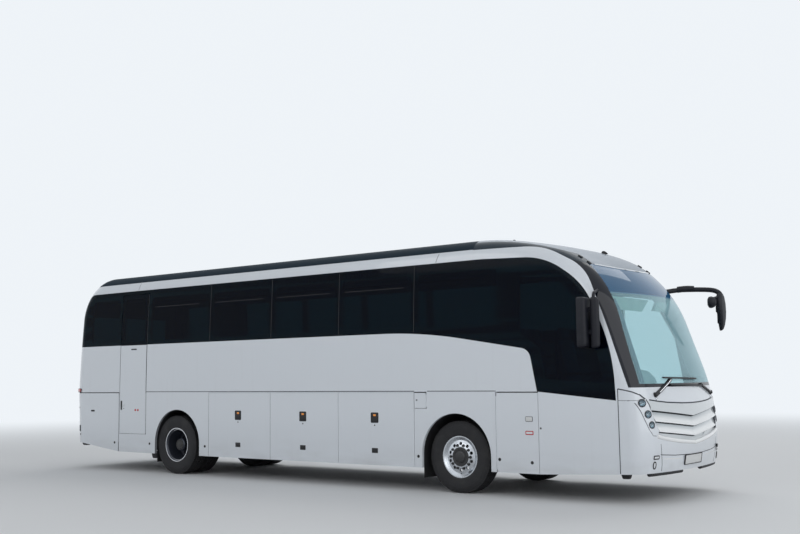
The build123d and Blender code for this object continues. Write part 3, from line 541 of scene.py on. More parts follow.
@dataclass(frozen=True)
class Rubber(Finish):
    """Black rubber with dust in its low places."""

    colour: Colour = (0.018, 0.018, 0.019)
    dust: Colour = (0.11, 0.1, 0.09)
    dusty: float = 0.4
    rough: float = 0.7

    def tree(self, bench: Bench) -> bpy.types.Node:
        """Fine pitting, and dust in soft patches."""
        pits = bench.noise(350, 3)
        patch = bench.noise(6, 6).ramp(0.4, 0.85) * self.dusty
        return bench.principled(
            Base_Color=bench.mix(patch, self.colour, self.dust),
            Roughness=pits * 0.15 + self.rough,
            Normal=bench.bump(pits, 0.3, 0.0006),
        )


@dataclass(frozen=True)
class Cloth(Finish):
    """Woven plush with a small all-over weave."""

    colour: Colour = (0.02, 0.035, 0.09)
    second: Colour = (0.06, 0.09, 0.17)
    pitch: float = 260.0

    def tree(self, bench: Bench) -> bpy.types.Node:
        """Crossed threads in colour and bump."""
        x, y, z = bench.axes()
        warp = (y * self.pitch) % 1.0
        weft = (z * self.pitch + x * self.pitch) % 1.0
        weave = abs(warp - 0.5) + abs(weft - 0.5)
        pile = bench.noise(140, 3)
        return bench.principled(
            Base_Color=bench.mix(weave * 0.5 + pile * 0.5, self.colour, self.second),
            Roughness=0.9,
            Sheen_Weight=0.4,
            Normal=bench.bump(weave + pile, 0.5, 0.0008),
        )


@dataclass(frozen=True)
class LampLens(Finish):
    """A clear or coloured lens with fine ribs."""

    colour: Colour = (0.8, 0.82, 0.85)
    glow: float = 0.0
    ribs: float = 160.0

    def tree(self, bench: Bench) -> bpy.types.Node:
        """Ribbed gloss plastic with a faint light of its own."""
        x, y, z = bench.axes()
        rib = abs(((y + x) * self.ribs) % 1.0 - 0.5) + abs((z * self.ribs) % 1.0 - 0.5)
        return bench.principled(
            Base_Color=bench.mix(rib * 0.5, self.colour, dimmed(self.colour, 0.6)),
            Roughness=0.08,
            Coat_Weight=1.0,
            Emission_Color=self.colour,
            Emission_Strength=self.glow,
            Normal=bench.bump(rib, 0.4, 0.0008),
        )


WHITE = ShellPaint("body_white")
ROOF = ShellPaint("roof_white", strip=3.503, shine=0.15)
DOOR_WHITE = ShellPaint("door_white_and_black", strip=2.325, strip_colour=(0.004, 0.007, 0.014), strip_inner=0)
DOME = DomePaint("dome_silver")
LOUVRE_PAINTED_SHADE = LouvrePaint("louvre_white")
BAND = Pane("side_glass_tint", (0.15, 0.29, 0.31), (0.002, 0.006, 0.03), 0.12)
DOOR_GLASS = Pane("door_glass_tint", (0.84, 0.95, 0.96), (0.05, 0.08, 0.09))
# The windscreen's pale cyan body colour is a painted reflection of bright sky over the clear layer
SCREEN = Pane("screen_glass", (0.92, 0.99, 1.0), (0.5, 0.78, 0.86), 0.17, 1.2, 2.74, 1.165, 1.545)
SURROUND = Paint("window_surround_black", (0.006, 0.008, 0.014), 0.2, 0.5)
PLASTIC = Moulded("black_plastic")
TRIM = Moulded("cabin_trim_grey", (0.16, 0.165, 0.17), 0.55, 700)
DASH_TRIM = Moulded("dash_trim_pale", (0.3, 0.42, 0.42), 0.5, 600)
VINYL = Moulded("floor_vinyl", (0.07, 0.072, 0.08), 0.6, 900)
CHASSIS = Paint("chassis_black", (0.02, 0.02, 0.021), 0.45, 0.2)
IRON = Metal("cast_iron_grey", (0.3, 0.3, 0.3), 0.5, 0.1, 0.6)
ALLOY = Metal("polished_alloy", (0.62, 0.65, 0.69), 0.16, 0.15, 0.25)
WHEEL_STEEL = Paint("wheel_steel_grey", (0.045, 0.052, 0.07), 0.35, 0.4, 0.4)
TYRE = Rubber("tyre_rubber", (0.012, 0.012, 0.014), (0.06, 0.058, 0.055), 0.3)
SEAL = Rubber("seal_rubber", (0.012, 0.012, 0.013), (0.04, 0.04, 0.04), 0.2, 0.55)
PLUSH = Cloth("seat_plush")
CHROME = Metal("bright_chrome", (0.9, 0.91, 0.92), 0.05)
CLEAR = LampLens("lamp_clear", (0.78, 0.81, 0.84), 0.05, 120)
RED = LampLens("lens_red", (0.5, 0.01, 0.012), 0.1)
AMBER = LampLens("lens_amber", (0.85, 0.28, 0.02), 0.15)
MIRROR = Metal("mirror_glass", (0.85, 0.88, 0.9), 0.015)
PLATE = Paint("plate_white", (0.75, 0.76, 0.76), 0.4, 0.3)
WHITE_TRIM = Paint("body_white_fittings", (0.72, 0.75, 0.78), 0.25, 0.9)
BRIGHT = Metal("bright_ring", (0.8, 0.81, 0.84), 0.1, 0.05, 0.2)
MIRROR_CASE = Moulded("mirror_case_black", (0.005, 0.006, 0.011), 0.42, 300)
HEADER = Moulded("header_trim_blue", (0.02, 0.05, 0.09), 0.5, 500)
BLIND = Moulded("blind_pale", (0.5, 0.72, 0.62), 0.6, 500)
LENS_GLASS = Pane("lens_glass", (0.95, 0.97, 0.98), (0.4, 0.42, 0.44), 0.06, 1.2)
BOWL = Metal("lamp_bowl", (0.24, 0.33, 0.38), 0.12)
# Whiter than the body: painted highlight on the chin's lip and the bumper's crease
HIGHLIGHT_WHITE = Paint("lip_white", (0.95, 0.96, 0.97), 0.2, 1.0)
BULB = Paint("bulb_glass", (0.75, 0.78, 0.8), 0.1, 1.0)
HATCH = Moulded("hatch_smoked", (0.09, 0.1, 0.11), 0.3, 200)
SEAM = Rubber("seam_sealant", (0.02, 0.025, 0.035), (0.05, 0.05, 0.06), 0.2, 0.5)


# Meshes


def linked(name: str, data: bpy.types.ID) -> bpy.types.Object:
    """A new object in the scene."""
    obj = bpy.data.objects.new(name, data)
    bpy.context.scene.collection.objects.link(obj)
    return obj


def evaluated(obj: bpy.types.Object) -> bpy.types.Mesh:
    """A copy of an object's mesh with its modifiers applied."""
    bpy.context.view_layer.update()
    return bpy.data.meshes.new_from_object(obj.evaluated_get(bpy.context.evaluated_depsgraph_get()))


def rotation(axis: str, degrees: float) -> Matrix:
    """A turn about a row axis."""
    return Matrix.Rotation(math.radians(degrees), 4, axis)


class Solid:
    """Faces and points being gathered into one piece, with a finish for each face."""

    def __init__(self) -> None:
        """Start with nothing."""
        self.points: list[Vector] = []
        self.faces: list[tuple[int, ...]] = []
        self.marks: list[int] = []
        self.finishes: list[Finish] = []

    def mark(self, finish: Finish) -> int:
        """The index of a finish, added if it is new."""
        if finish not in self.finishes:
            self.finishes.append(finish)
        return self.finishes.index(finish)

    def add(self, points: Iterable, faces: Iterable, finish: Finish, matrix: Matrix | None = None) -> "Solid":
        """Add points and faces.

        Args:
            points: The points.
            faces: Their faces as tuples of indices.
            finish: The finish of these faces.
            matrix: Where they go, if not where they are.

        Returns:
            The solid itself.
        """
        base = len(self.points)
        for point in points:
            point = Vector(point)
            self.points.append(matrix @ point if matrix else point)
        index = self.mark(finish)
        for face in faces:
            self.faces.append(tuple(base + i for i in face))
            self.marks.append(index)
        return self

    def merge(self, other: "Solid", matrix: Matrix | None = None) -> "Solid":
        """Add another solid, moved by a matrix if one is given."""
        base = len(self.points)
        self.points += [matrix @ p if matrix else p for p in other.points]
        for face, mark in zip(other.faces, other.marks):
            self.faces.append(tuple(base + i for i in face))
            self.marks.append(self.mark(other.finishes[mark]))
        return self

    def mesh(self, name: str) -> bpy.types.Mesh:
        """The faces as a plain mesh."""
        mesh = bpy.data.meshes.new(name)
        mesh.from_pydata([tuple(p) for p in self.points], [], self.faces)
        return mesh

    def piece(
        self, name: str, body: str, slot: str, replaces: Sequence[str] = (), crease: float = 35
    ) -> bpy.types.Object:
        """Make the Blender object and fasten it to a body.

        Args:
            name: The piece's name.
            body: The body it rides on.
            slot: The record's material slot; not used.
            replaces: CAD nodes that it stands for.
            crease: The angle in degrees above which an edge stays sharp.

        Returns:
            The object.
        """
        mesh = self.mesh(name)
        for finish in self.finishes:
            mesh.materials.append(finish.material())
        mesh.polygons.foreach_set("material_index", self.marks)
        work = bmesh.new()
        work.from_mesh(mesh)
        bmesh.ops.remove_doubles(work, verts=work.verts, dist=WELD)
        bmesh.ops.recalc_face_normals(work, faces=work.faces)
        work.to_mesh(mesh)
        work.free()
        mesh.polygons.foreach_set("use_smooth", [True] * len(mesh.polygons))
        mesh.set_sharp_from_angle(angle=math.radians(crease))
        obj = linked(name, mesh)
        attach(obj, body)
        if replaces:
            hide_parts(*replaces)
        log.info("%s: %d faces on %s", name, len(mesh.polygons), body)
        return obj


def read_back(obj: bpy.types.Object, finish: Finish) -> Solid:
    """An object's shape with its modifiers applied, as a solid in one finish."""
    made = evaluated(obj)
    return Solid().add([v.co for v in made.vertices], [tuple(p.vertices) for p in made.polygons], finish)


def loft(rings: Sequence[Sequence], finish: Finish, closed: bool = True, caps: bool = True) -> Solid:
    """Skin a row of rings that have as many points each.

    Args:
        rings: The rings, in order.
        finish: The finish.
        closed: Whether each ring closes on itself.
        caps: Whether the first and last rings are filled.

    Returns:
        The solid.
    """
    count = len(rings[0])
    points = [p for ring in rings for p in ring]
    last = count if closed else count - 1
    faces = [
        (r * count + i, r * count + (i + 1) % count, (r + 1) * count + (i + 1) % count, (r + 1) * count + i)
        for r in range(len(rings) - 1)
        for i in range(last)
    ]
    if caps and closed:
        faces.append(tuple(range(count))[::-1])
        faces.append(tuple((len(rings) - 1) * count + i for i in range(count)))
    return Solid().add(points, faces, finish)


def turned(profile: Sequence[Pair], finish: Finish, steps: int = 64, closed: bool = True) -> Solid:
    """Turn a profile about the Y axis.

    Args:
        profile: Pairs of distance along Y and radius.
        finish: The finish.
        steps: How many faces go round.
        closed: Whether the profile closes on itself.

    Returns:
        The solid, about the origin.
    """
    rings = []
    for i in range(steps):
        a = 2 * math.pi * i / steps
        rings.append([(r * math.cos(a), y, r * math.sin(a)) for y, r in profile])
    count = len(profile)
    points = [p for ring in rings for p in ring]
    faces = []
    for i in range(steps):
        j = (i + 1) % steps
        for k in range(count if closed else count - 1):
            n = (k + 1) % count
            faces.append((i * count + k, i * count + n, j * count + n, j * count + k))
    return Solid().add(points, faces, finish)


def rounded(width: float, height: float, radius: float, steps: int = 4) -> list[Pair]:
    """The outline of a rounded rectangle about its centre."""
    across, up = width / 2 - radius, height / 2 - radius
    points = []
    for cx, cy, start in ((1, 1, 0), (-1, 1, 90), (-1, -1, 180), (1, -1, 270)):
        for k in range(steps + 1):
            a = math.radians(start + 90 * k / steps)
            points.append((cx * across + radius * math.cos(a), cy * up + radius * math.sin(a)))
    return points


def circle(radius: float, steps: int = 24) -> list[Pair]:
    """The outline of a circle about its centre."""
    angles = [2 * math.pi * k / steps for k in range(steps)]
    return [(radius * math.cos(a), radius * math.sin(a)) for a in angles]


def scaled(outline: Sequence[Pair], inset: float) -> list[Pair]:
    """An outline about its centre, drawn in by roughly an inset."""
    width = max(p[0] for p in outline)
    height = max(p[1] for p in outline)
    return [(u * (width - inset) / width, v * (height - inset) / height) for u, v in outline]


def plug(outline: Sequence[Pair], low: float, high: float, finish: Finish, edge: float = 0.002) -> Solid:
    """A raised pad with a rounded upper edge, in local (across, up, out) coordinates.

    Args:
        outline: Its outline about its centre.
        low: Where it starts, outwards.
        high: Where it ends.
        finish: The finish.
        edge: The size of its rounded edge.

    Returns:
        The solid.
    """
    rings = [[(u, v, low) for u, v in outline], [(u, v, high - edge) for u, v in outline]]
    for k in (1, 2):
        a = math.pi / 4 * k
        level = high - edge + edge * math.sin(a)
        rings.append([(u, v, level) for u, v in scaled(outline, edge * (1 - math.cos(a)))])
    return loft(rings, finish)


def slab(outline: Sequence[Pair], across: Iterable[float], finish: Finish, at: Point = (0, 0, 0)) -> Solid:
    """A side-view outline drawn out across the coach.

    Args:
        outline: The outline, in x and z.
        across: The y of each section.
        finish: The finish.
        at: Where its origin goes.

    Returns:
        The solid.
    """
    x, y, z = at
    return loft([[(x + u, y + w, z + v) for u, v in outline] for w in across], finish)


def hoop(outline: Sequence[Pair], width: float, low: float, high: float, finish: Finish) -> Solid:
    """A raised frame round an outline, in local (across, up, out) coordinates.

    Args:
        outline: The frame's outer outline.
        width: How wide the frame is.
        low: Where it starts, outwards.
        high: Where it ends.
        finish: The finish.

    Returns:
        The solid.
    """
    inner = scaled(outline, width)
    mid = (low + high) / 2
    outer_rim = scaled(outline, width * 0.15)
    inner_rim = scaled(outline, width * 0.85)
    shapes = (outline, outline, outer_rim, inner_rim, inner, inner, outline)
    levels = (low, mid, high, high, mid, low, low)
    rings = [[(u, v, level) for u, v in shape] for shape, level in zip(shapes, levels)]
    return loft(rings, finish, caps=False)


class Skin:
    """The outer surface of some CAD nodes, to set fittings on."""

    def __init__(self, *nodes: str) -> None:
        """Read the nodes' faces.

        Args:
            nodes: Names of CAD nodes.
        """
        points, faces = [], []
        for node in nodes:
            mesh = frame["nodes"][node].data
            base = len(points)
            points += [v.co.copy() for v in mesh.vertices]
            faces += [tuple(base + i for i in p.vertices) for p in mesh.polygons]
        self.tree = BVHTree.FromPolygons(points, faces)

    def meet(self, start: Vector, along: Vector) -> tuple[Vector, Vector] | None:
        """Where a line from outside first meets the skin.

        Args:
            start: A point outside.
            along: The direction to look in.

        Returns:
            The point and the outward normal, or None.
        """
        hit, normal, _, _ = self.tree.ray_cast(start, along)
        if hit is None:
            return None
        return hit, (normal if normal.dot(along) < 0 else -normal)


OUTWARD = rotation("X", 90)
# Where a look at a side starts, and what stands in where it meets nothing
FAR = 3.0
SIDE_Y, NOSE_X, TAIL_X = 1.27, 6.0, -6.08


def side_hit(skin: Skin, side: Side, x: float, z: float) -> tuple[Vector, Vector]:
    """The point and normal of a skin beside a point in side view."""
    found = skin.meet(Vector((x, side.value * FAR, z)), Vector((0, -side.value, 0)))
    return found or (Vector((x, side.value * SIDE_Y, z)), Vector((0, side.value, 0)))


def nose_hit(skin: Skin, y: float, z: float) -> tuple[Vector, Vector]:
    """The point and normal of a skin ahead of a point in front view."""
    found = skin.meet(Vector((BEYOND, y, z)), Vector((-1, 0, 0)))
    return found or (Vector((NOSE_X, y, z)), Vector((1, 0, 0)))


def tail_hit(skin: Skin, y: float, z: float) -> tuple[Vector, Vector]:
    """The point and normal of a skin behind a point in rear view."""
    found = skin.meet(Vector((-BEYOND, y, z)), Vector((1, 0, 0)))
    return found or (Vector((TAIL_X, y, z)), Vector((-1, 0, 0)))


def seat_on(hit: tuple[Vector, Vector], up: Vector = Vector((0, 0, 1))) -> Matrix:
    """A local frame (across, up, out) on a surface.

    Args:
        hit: The point and its normal.
        up: Roughly which way is up.

    Returns:
        The matrix from local to row coordinates.
    """
    point, out = hit
    out = out.normalized()
    across = up.cross(out).normalized()
    true_up = out.cross(across)
    matrix = Matrix((across, true_up, out)).transposed().to_4x4()
    matrix.translation = point
    return matrix


def on_side(skin: Skin, side: Side, fittings: Iterable[tuple[Solid, float, float]]) -> Solid:
    """Set fittings on a skin.

    Args:
        skin: The skin.
        side: The side that it is seen from.
        fittings: Each fitting with its x and z in side view.

    Returns:
        The fittings in their places.
    """
    placed = Solid()
    for fitting, x, z in fittings:
        placed.merge(fitting, seat_on(side_hit(skin, side, x, z)))
    return placed


def tube(path: Sequence[Vector], radius: float, finish: Finish, steps: int = 12) -> Solid:
    """A round bar along a path.

    Args:
        path: Its points.
        radius: Its radius.
        finish: The finish.
        steps: How many faces go round.

    Returns:
        The solid.
    """
    path = [Vector(p) for p in path]
    angles = [2 * math.pi * k / steps for k in range(steps)]
    rings = []
    across = None
    for i, point in enumerate(path):
        along = (path[min(i + 1, len(path) - 1)] - path[max(i - 1, 0)]).normalized()
        if across is None:
            across = along.orthogonal().normalized()
        across = (across - along * across.dot(along)).normalized()
        up = along.cross(across)
        rings.append([point + across * radius * math.cos(a) + up * radius * math.sin(a) for a in angles])
    return loft(rings, finish)


def smooth_path(points: Sequence, per: int = 8) -> list[Vector]:
    """A soft curve through some points, by Catmull-Rom spans."""
    points = [Vector(p) for p in points]
    padded = [points[0] * 2 - points[1], *points, points[-1] * 2 - points[-2]]
    path = []
    for a, b, c, d in zip(padded, padded[1:], padded[2:], padded[3:]):
        for k in range(per):
            t = k / per
            bend = (2 * a - 5 * b + 4 * c - d) * t * t
            path.append(0.5 * ((2 * b) + (c - a) * t + bend + (3 * b - a - 3 * c + d) * t**3))
    path.append(points[-1])
    return path


def ribbon(
    path: Sequence[Pair],
    width: float,
    drop: Callable[[float, float], tuple[Vector, Vector]],
    finish: Finish,
    thick: float = 0.0008,
    lift: float = 0.0003,
    step: float = 0.06,
) -> Solid:
    """A narrow strip that follows a line on a curved surface.

    Args:
        path: The line in the view plane.
        width: The strip's width.
        drop: Gives the surface's point and normal for a point of that plane.
        finish: The finish.
        thick: The strip's thickness.
        lift: How far its back stands off the surface.
        step: The longest run between sections.

    Returns:
        The solid.
    """
    dense = [path[0]]
    for (u0, v0), (u1, v1) in zip(path, path[1:]):
        runs = max(1, math.ceil(math.hypot(u1 - u0, v1 - v0) / step))
        dense += [(u0 + (u1 - u0) * k / runs, v0 + (v1 - v0) * k / runs) for k in range(1, runs + 1)]
    sections = []
    for i, (u, v) in enumerate(dense):
        (u0, v0), (u1, v1) = dense[max(i - 1, 0)], dense[min(i + 1, len(dense) - 1)]
        size = math.hypot(u1 - u0, v1 - v0)
        du, dv = -(v1 - v0) / size * width / 2, (u1 - u0) / size * width / 2
        (a, normal), (b, other) = drop(u + du, v + dv), drop(u - du, v - dv)
        high = lift + thick
        sections.append([a + normal * high, b + other * high, b + other * lift, a + normal * lift])
    return loft(sections, finish)


# Geometry Nodes


class Pattern:
    """A Geometry Nodes tree that repeats one item along a ring or a line."""

    def __init__(self, name: str) -> None:
        """Start a tree with a geometry result."""
        self.tree = bpy.data.node_groups.new(name, "GeometryNodeTree")
        self.tree.interface.new_socket("Geometry", in_out="OUTPUT", socket_type="NodeSocketGeometry")
        self.sockets: dict[str, str] = {}
        self.inputs = self.tree.nodes.new("NodeGroupInput")
        self.out = self.tree.nodes.new("NodeGroupOutput")

    def dial(self, name: str, kind: str) -> bpy.types.NodeSocket:
        """Add a named input and return its socket inside the tree."""
        item = self.tree.interface.new_socket(name, in_out="INPUT", socket_type=kind)
        self.sockets[name] = item.identifier
        return next(s for s in self.inputs.outputs if s.identifier == item.identifier)

    def node(self, kind: str, settings: dict | None = None, values: dict | None = None) -> bpy.types.Node:
        """Add a node, with its settings and its sockets' values."""
        return grow(self.tree, kind, settings, values)

    def ring(self) -> "Pattern":
        """Repeat the item round the Y axis, turned to face outwards."""
        count = self.dial("Count", "NodeSocketInt")
        radius = self.dial("Radius", "NodeSocketFloat")
        size = {"Vertices": count, "Radius": radius}
        rim = self.node("GeometryNodeMeshCircle", {"fill_type": "NONE"}, size)
        values = {"Geometry": rim.outputs[0], "Rotation": (math.pi / 2, 0, 0)}
        upright = self.node("GeometryNodeTransform", None, values)
        place = self.node("GeometryNodeInputPosition")
        axes = {"axis": "Z", "pivot_axis": "Y"}
        turn = self.node("FunctionNodeAlignRotationToVector", axes, {"Vector": place.outputs[0]})
        return self._repeat(upright.outputs[0], turn.outputs[0])

    def line(self) -> "Pattern":
        """Repeat the item along a line."""
        count = self.dial("Count", "NodeSocketInt")
        start = self.dial("Start", "NodeSocketVector")
        step = self.dial("Step", "NodeSocketVector")
        values = {"Count": count, "Start Location": start, "Offset": step}
        row = self.node("GeometryNodeMeshLine", {"mode": "OFFSET"}, values)
        return self._repeat(row.outputs[0])

    def _repeat(self, points: bpy.types.NodeSocket, turn: bpy.types.NodeSocket | None = None) -> "Pattern":
        """Put the item on the points, make it real and dress it."""
        item = self.dial("Item", "NodeSocketObject")
        dress = self.dial("Finish", "NodeSocketMaterial")
        shape = self.node("GeometryNodeObjectInfo", {"transform_space": "ORIGINAL"}, {"Object": item})
        values = {"Points": points, "Instance": shape.outputs["Geometry"]}
        if turn is not None:
            values["Rotation"] = turn
        spread = self.node("GeometryNodeInstanceOnPoints", None, values)
        real = self.node("GeometryNodeRealizeInstances", None, {0: spread.outputs[0]})
        done = self.node("GeometryNodeSetMaterial", None, {"Geometry": real.outputs[0], "Material": dress})
        self.tree.links.new(done.outputs[0], self.out.inputs[0])
        return self

    def bake(self, item: Solid, **dials) -> Solid:
        """Run the tree once and read back the repeated item.

        Args:
            item: The thing to repeat, in one finish.
            dials: The tree's inputs by name.

        Returns:
            The repeats, as a solid with the item's finish.
        """
        finish = item.finishes[0]
        thing = linked("item", item.mesh("item"))
        host = linked("host", bpy.data.meshes.new("host"))
        layer = host.modifiers.new("pattern", "NODES")
        layer.node_group = self.tree
        for name, value in {**dials, "Item": thing, "Finish": finish.material()}.items():
            layer[self.sockets[name]] = value
        result = read_back(host, finish)
        for obj in (thing, host):
            bpy.data.objects.remove(obj)
        return result


RING = Pattern("ring_of_items").ring()
ROW = Pattern("row_of_items").line()


# Camera, floor and light


@dataclass(frozen=True)
class Viewpoint:
    """The camera's place, worked out from the level lines and the wheels."""

    place: Point = (11.738, -13.875, 1.677)
    azimuth: float = 37.513
    rise: float = 5.966
    roll: float = -0.727
    focal_px: float = 1050.05
    photo_width: int = 800
    sensor: float = 36.0

    def make(self) -> None:
        """Create the scene's camera."""
        a, e, r = (math.radians(v) for v in (self.azimuth, self.rise, self.roll))
        ahead = Vector((-math.sin(a) * math.cos(e), math.cos(a) * math.cos(e), math.sin(e)))
        right = Vector((math.cos(a), math.sin(a), 0))
        up = right.cross(ahead)
        right, up = right * math.cos(r) + up * math.sin(r), up * math.cos(r) - right * math.sin(r)
        data = bpy.data.cameras.new("camera")
        data.sensor_width = self.sensor
        data.lens = self.focal_px * self.sensor / self.photo_width
        data.clip_end = 500
        camera = linked("camera", data)
        matrix = Matrix((right, up, -ahead)).transposed().to_4x4()
        matrix.translation = self.place
        camera.matrix_world = matrix
        bpy.context.scene.camera = camera


@dataclass(frozen=True)
class Lamp:
    """One soft rectangular studio light."""

    name: str
    place: Point
    aim: Point
    size: Pair
    watts: float

    def make(self) -> None:
        """Create the light."""
        data = bpy.data.lights.new(self.name, "AREA")
        data.shape = "RECTANGLE"
        data.size, data.size_y = self.size
        data.energy = self.watts
        light = linked(self.name, data)
        light.location = self.place
        light.rotation_mode = "QUATERNION"
        light.rotation_quaternion = (Vector(self.aim) - Vector(self.place)).to_track_quat("-Z", "Y")


@dataclass(frozen=True)
class Studio:
    """The floor, the backdrop and the lights."""

    floor_half: float = 240.0
    floor: Colour = (0.78, 0.79, 0.8)
    backdrop: Colour = (0.86, 0.9, 0.94)
    fill: float = 0.38
    fade: Pair = (8.0, 32.0)
    lamps: tuple = (
        Lamp("front_light", (20, -6, 9.5), (4, 0, 1.5), (28, 18), 1500),
        Lamp("side_light", (-4, -22, 12), (0, 0, 1.5), (22, 8), 700),
        Lamp("top_light", (-2, 10, 16), (0, 0, 2), (20, 12), 1000),
    )

    def make(self) -> None:
        """Build it all."""
        self.ground()
        self.sky()
        for lamp in self.lamps:
            lamp.make()

    def ground(self) -> None:
        """The floor, which passes into the backdrop in the distance."""
        half = self.floor_half
        mesh = bpy.data.meshes.new("floor")
        corners = [(-half, -half, 0), (half, -half, 0), (half, half, 0), (-half, half, 0)]
        mesh.from_pydata(corners, [], [(0, 1, 2, 3)])
        bench = Bench("floor_pale")
        pale = bench.mix(bench.noise(0.3, 4) * 0.4, self.floor, dimmed(self.floor, 0.96))
        matt = bench.principled(Base_Color=pale, Roughness=0.8)
        glow = bench.add("ShaderNodeEmission", values={"Color": self.backdrop, "Strength": 1.0})
        seen = bench.result("ShaderNodeLightPath", out="Is Camera Ray")
        seen = seen + bench.result("ShaderNodeLightPath", out="Is Glossy Ray")
        fade = bench.vector("LENGTH", bench.place(), out="Value").ramp(*self.fade) * seen
        layers = {0: fade, 1: matt.outputs[0], 2: glow.outputs[0]}
        mesh.materials.append(bench.finish(bench.add("ShaderNodeMixShader", values=layers)))
        floor = linked("floor", mesh)

    def sky(self) -> None:
        """The backdrop as the camera, reflections and glass see it, and a dimmer one that lights."""
        world = bpy.data.worlds.new("studio")
        world.use_nodes = True
        tree = world.node_tree
        tree.nodes.clear()
        paths = tree.nodes.new("ShaderNodeLightPath")
        seen = paths.outputs["Is Camera Ray"]
        for kind in ("Is Glossy Ray", "Is Transmission Ray"):
            both_kinds = {0: seen, 1: paths.outputs[kind]}
            seen = grow(tree, "ShaderNodeMath", {"operation": "MAXIMUM"}, both_kinds).outputs[0]
        layers = {0: seen}
        for socket, strength in ((1, self.fill), (2, 1.0)):
            values = {"Color": self.backdrop, "Strength": strength}
            layers[socket] = grow(tree, "ShaderNodeBackground", None, values).outputs[0]
        blend = grow(tree, "ShaderNodeMixShader", None, layers)
        grow(tree, "ShaderNodeOutputWorld", None, {"Surface": blend.outputs[0]})
        bpy.context.scene.world = world


# Finishes of the CAD pieces


@dataclass(frozen=True)
class Shell:
    """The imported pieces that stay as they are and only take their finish."""

    finishes: tuple = (
        (WHITE, (
            "side_wall_", "luggage_door_", "lower_side_", "fuel_flap", "front_locker_", "engine_flap_",
            "rear_wall", "engine_lid", "front_bumper", "bonnet_panel", "passenger_door", "lamp_pods",
        )),
        (ROOF, ("roof_shell",)),
        (DOOR_WHITE, ("emergency_door",)),
        (BAND, ("emergency_door_glass", "side_glass", "rear_window")),
        (DOOR_GLASS, ("passenger_door_glass",)),
        (SCREEN, ("windscreen",)),
        (SURROUND, ("window_frames",)),
        (DOME, ("front_dome",)),
        (CLEAR, ("headlamps",)),
        (RED, ("tail_lamps",)),
        (LOUVRE_PAINTED_SHADE, ("louvre_grille",)),
        (PLASTIC, ("wheel_liners", "wipers", "steering_wheel")),
        (MIRROR_CASE, ("mirror_",)),
        (DASH_TRIM, ("dashboard",)),
        (TRIM, ("parcel_racks",)),
        (VINYL, ("floor_deck", "luggage_floor", "bulkheads")),
        (PLUSH, ("passenger_seats", "driver_seat")),
        (CHASSIS, ("chassis_frame", "front_axle", "rear_axle", "knuckle_")),
        (IRON, ("engine",)),
        (TYRE, ("front_tyre_", "rear_tyres_")),
        (SEAL, ("mud_flaps",)),
        (ALLOY, ("front_rim_",)),
        (WHEEL_STEEL, ("rear_rims_",)),
    )

    def finish_of(self, node: str) -> Finish:
        """The finish whose longest matching name starts a node's name."""
        starts = {start: finish for finish, names in self.finishes for start in names}
        return starts[max((start for start in starts if node.startswith(start)), key=len)]

    def dress(self) -> None:
        """Give every node its material."""
        for name, node in frame["nodes"].items():
            node.data.materials.clear()
            node.data.materials.append(self.finish_of(name).material())


# Wheels


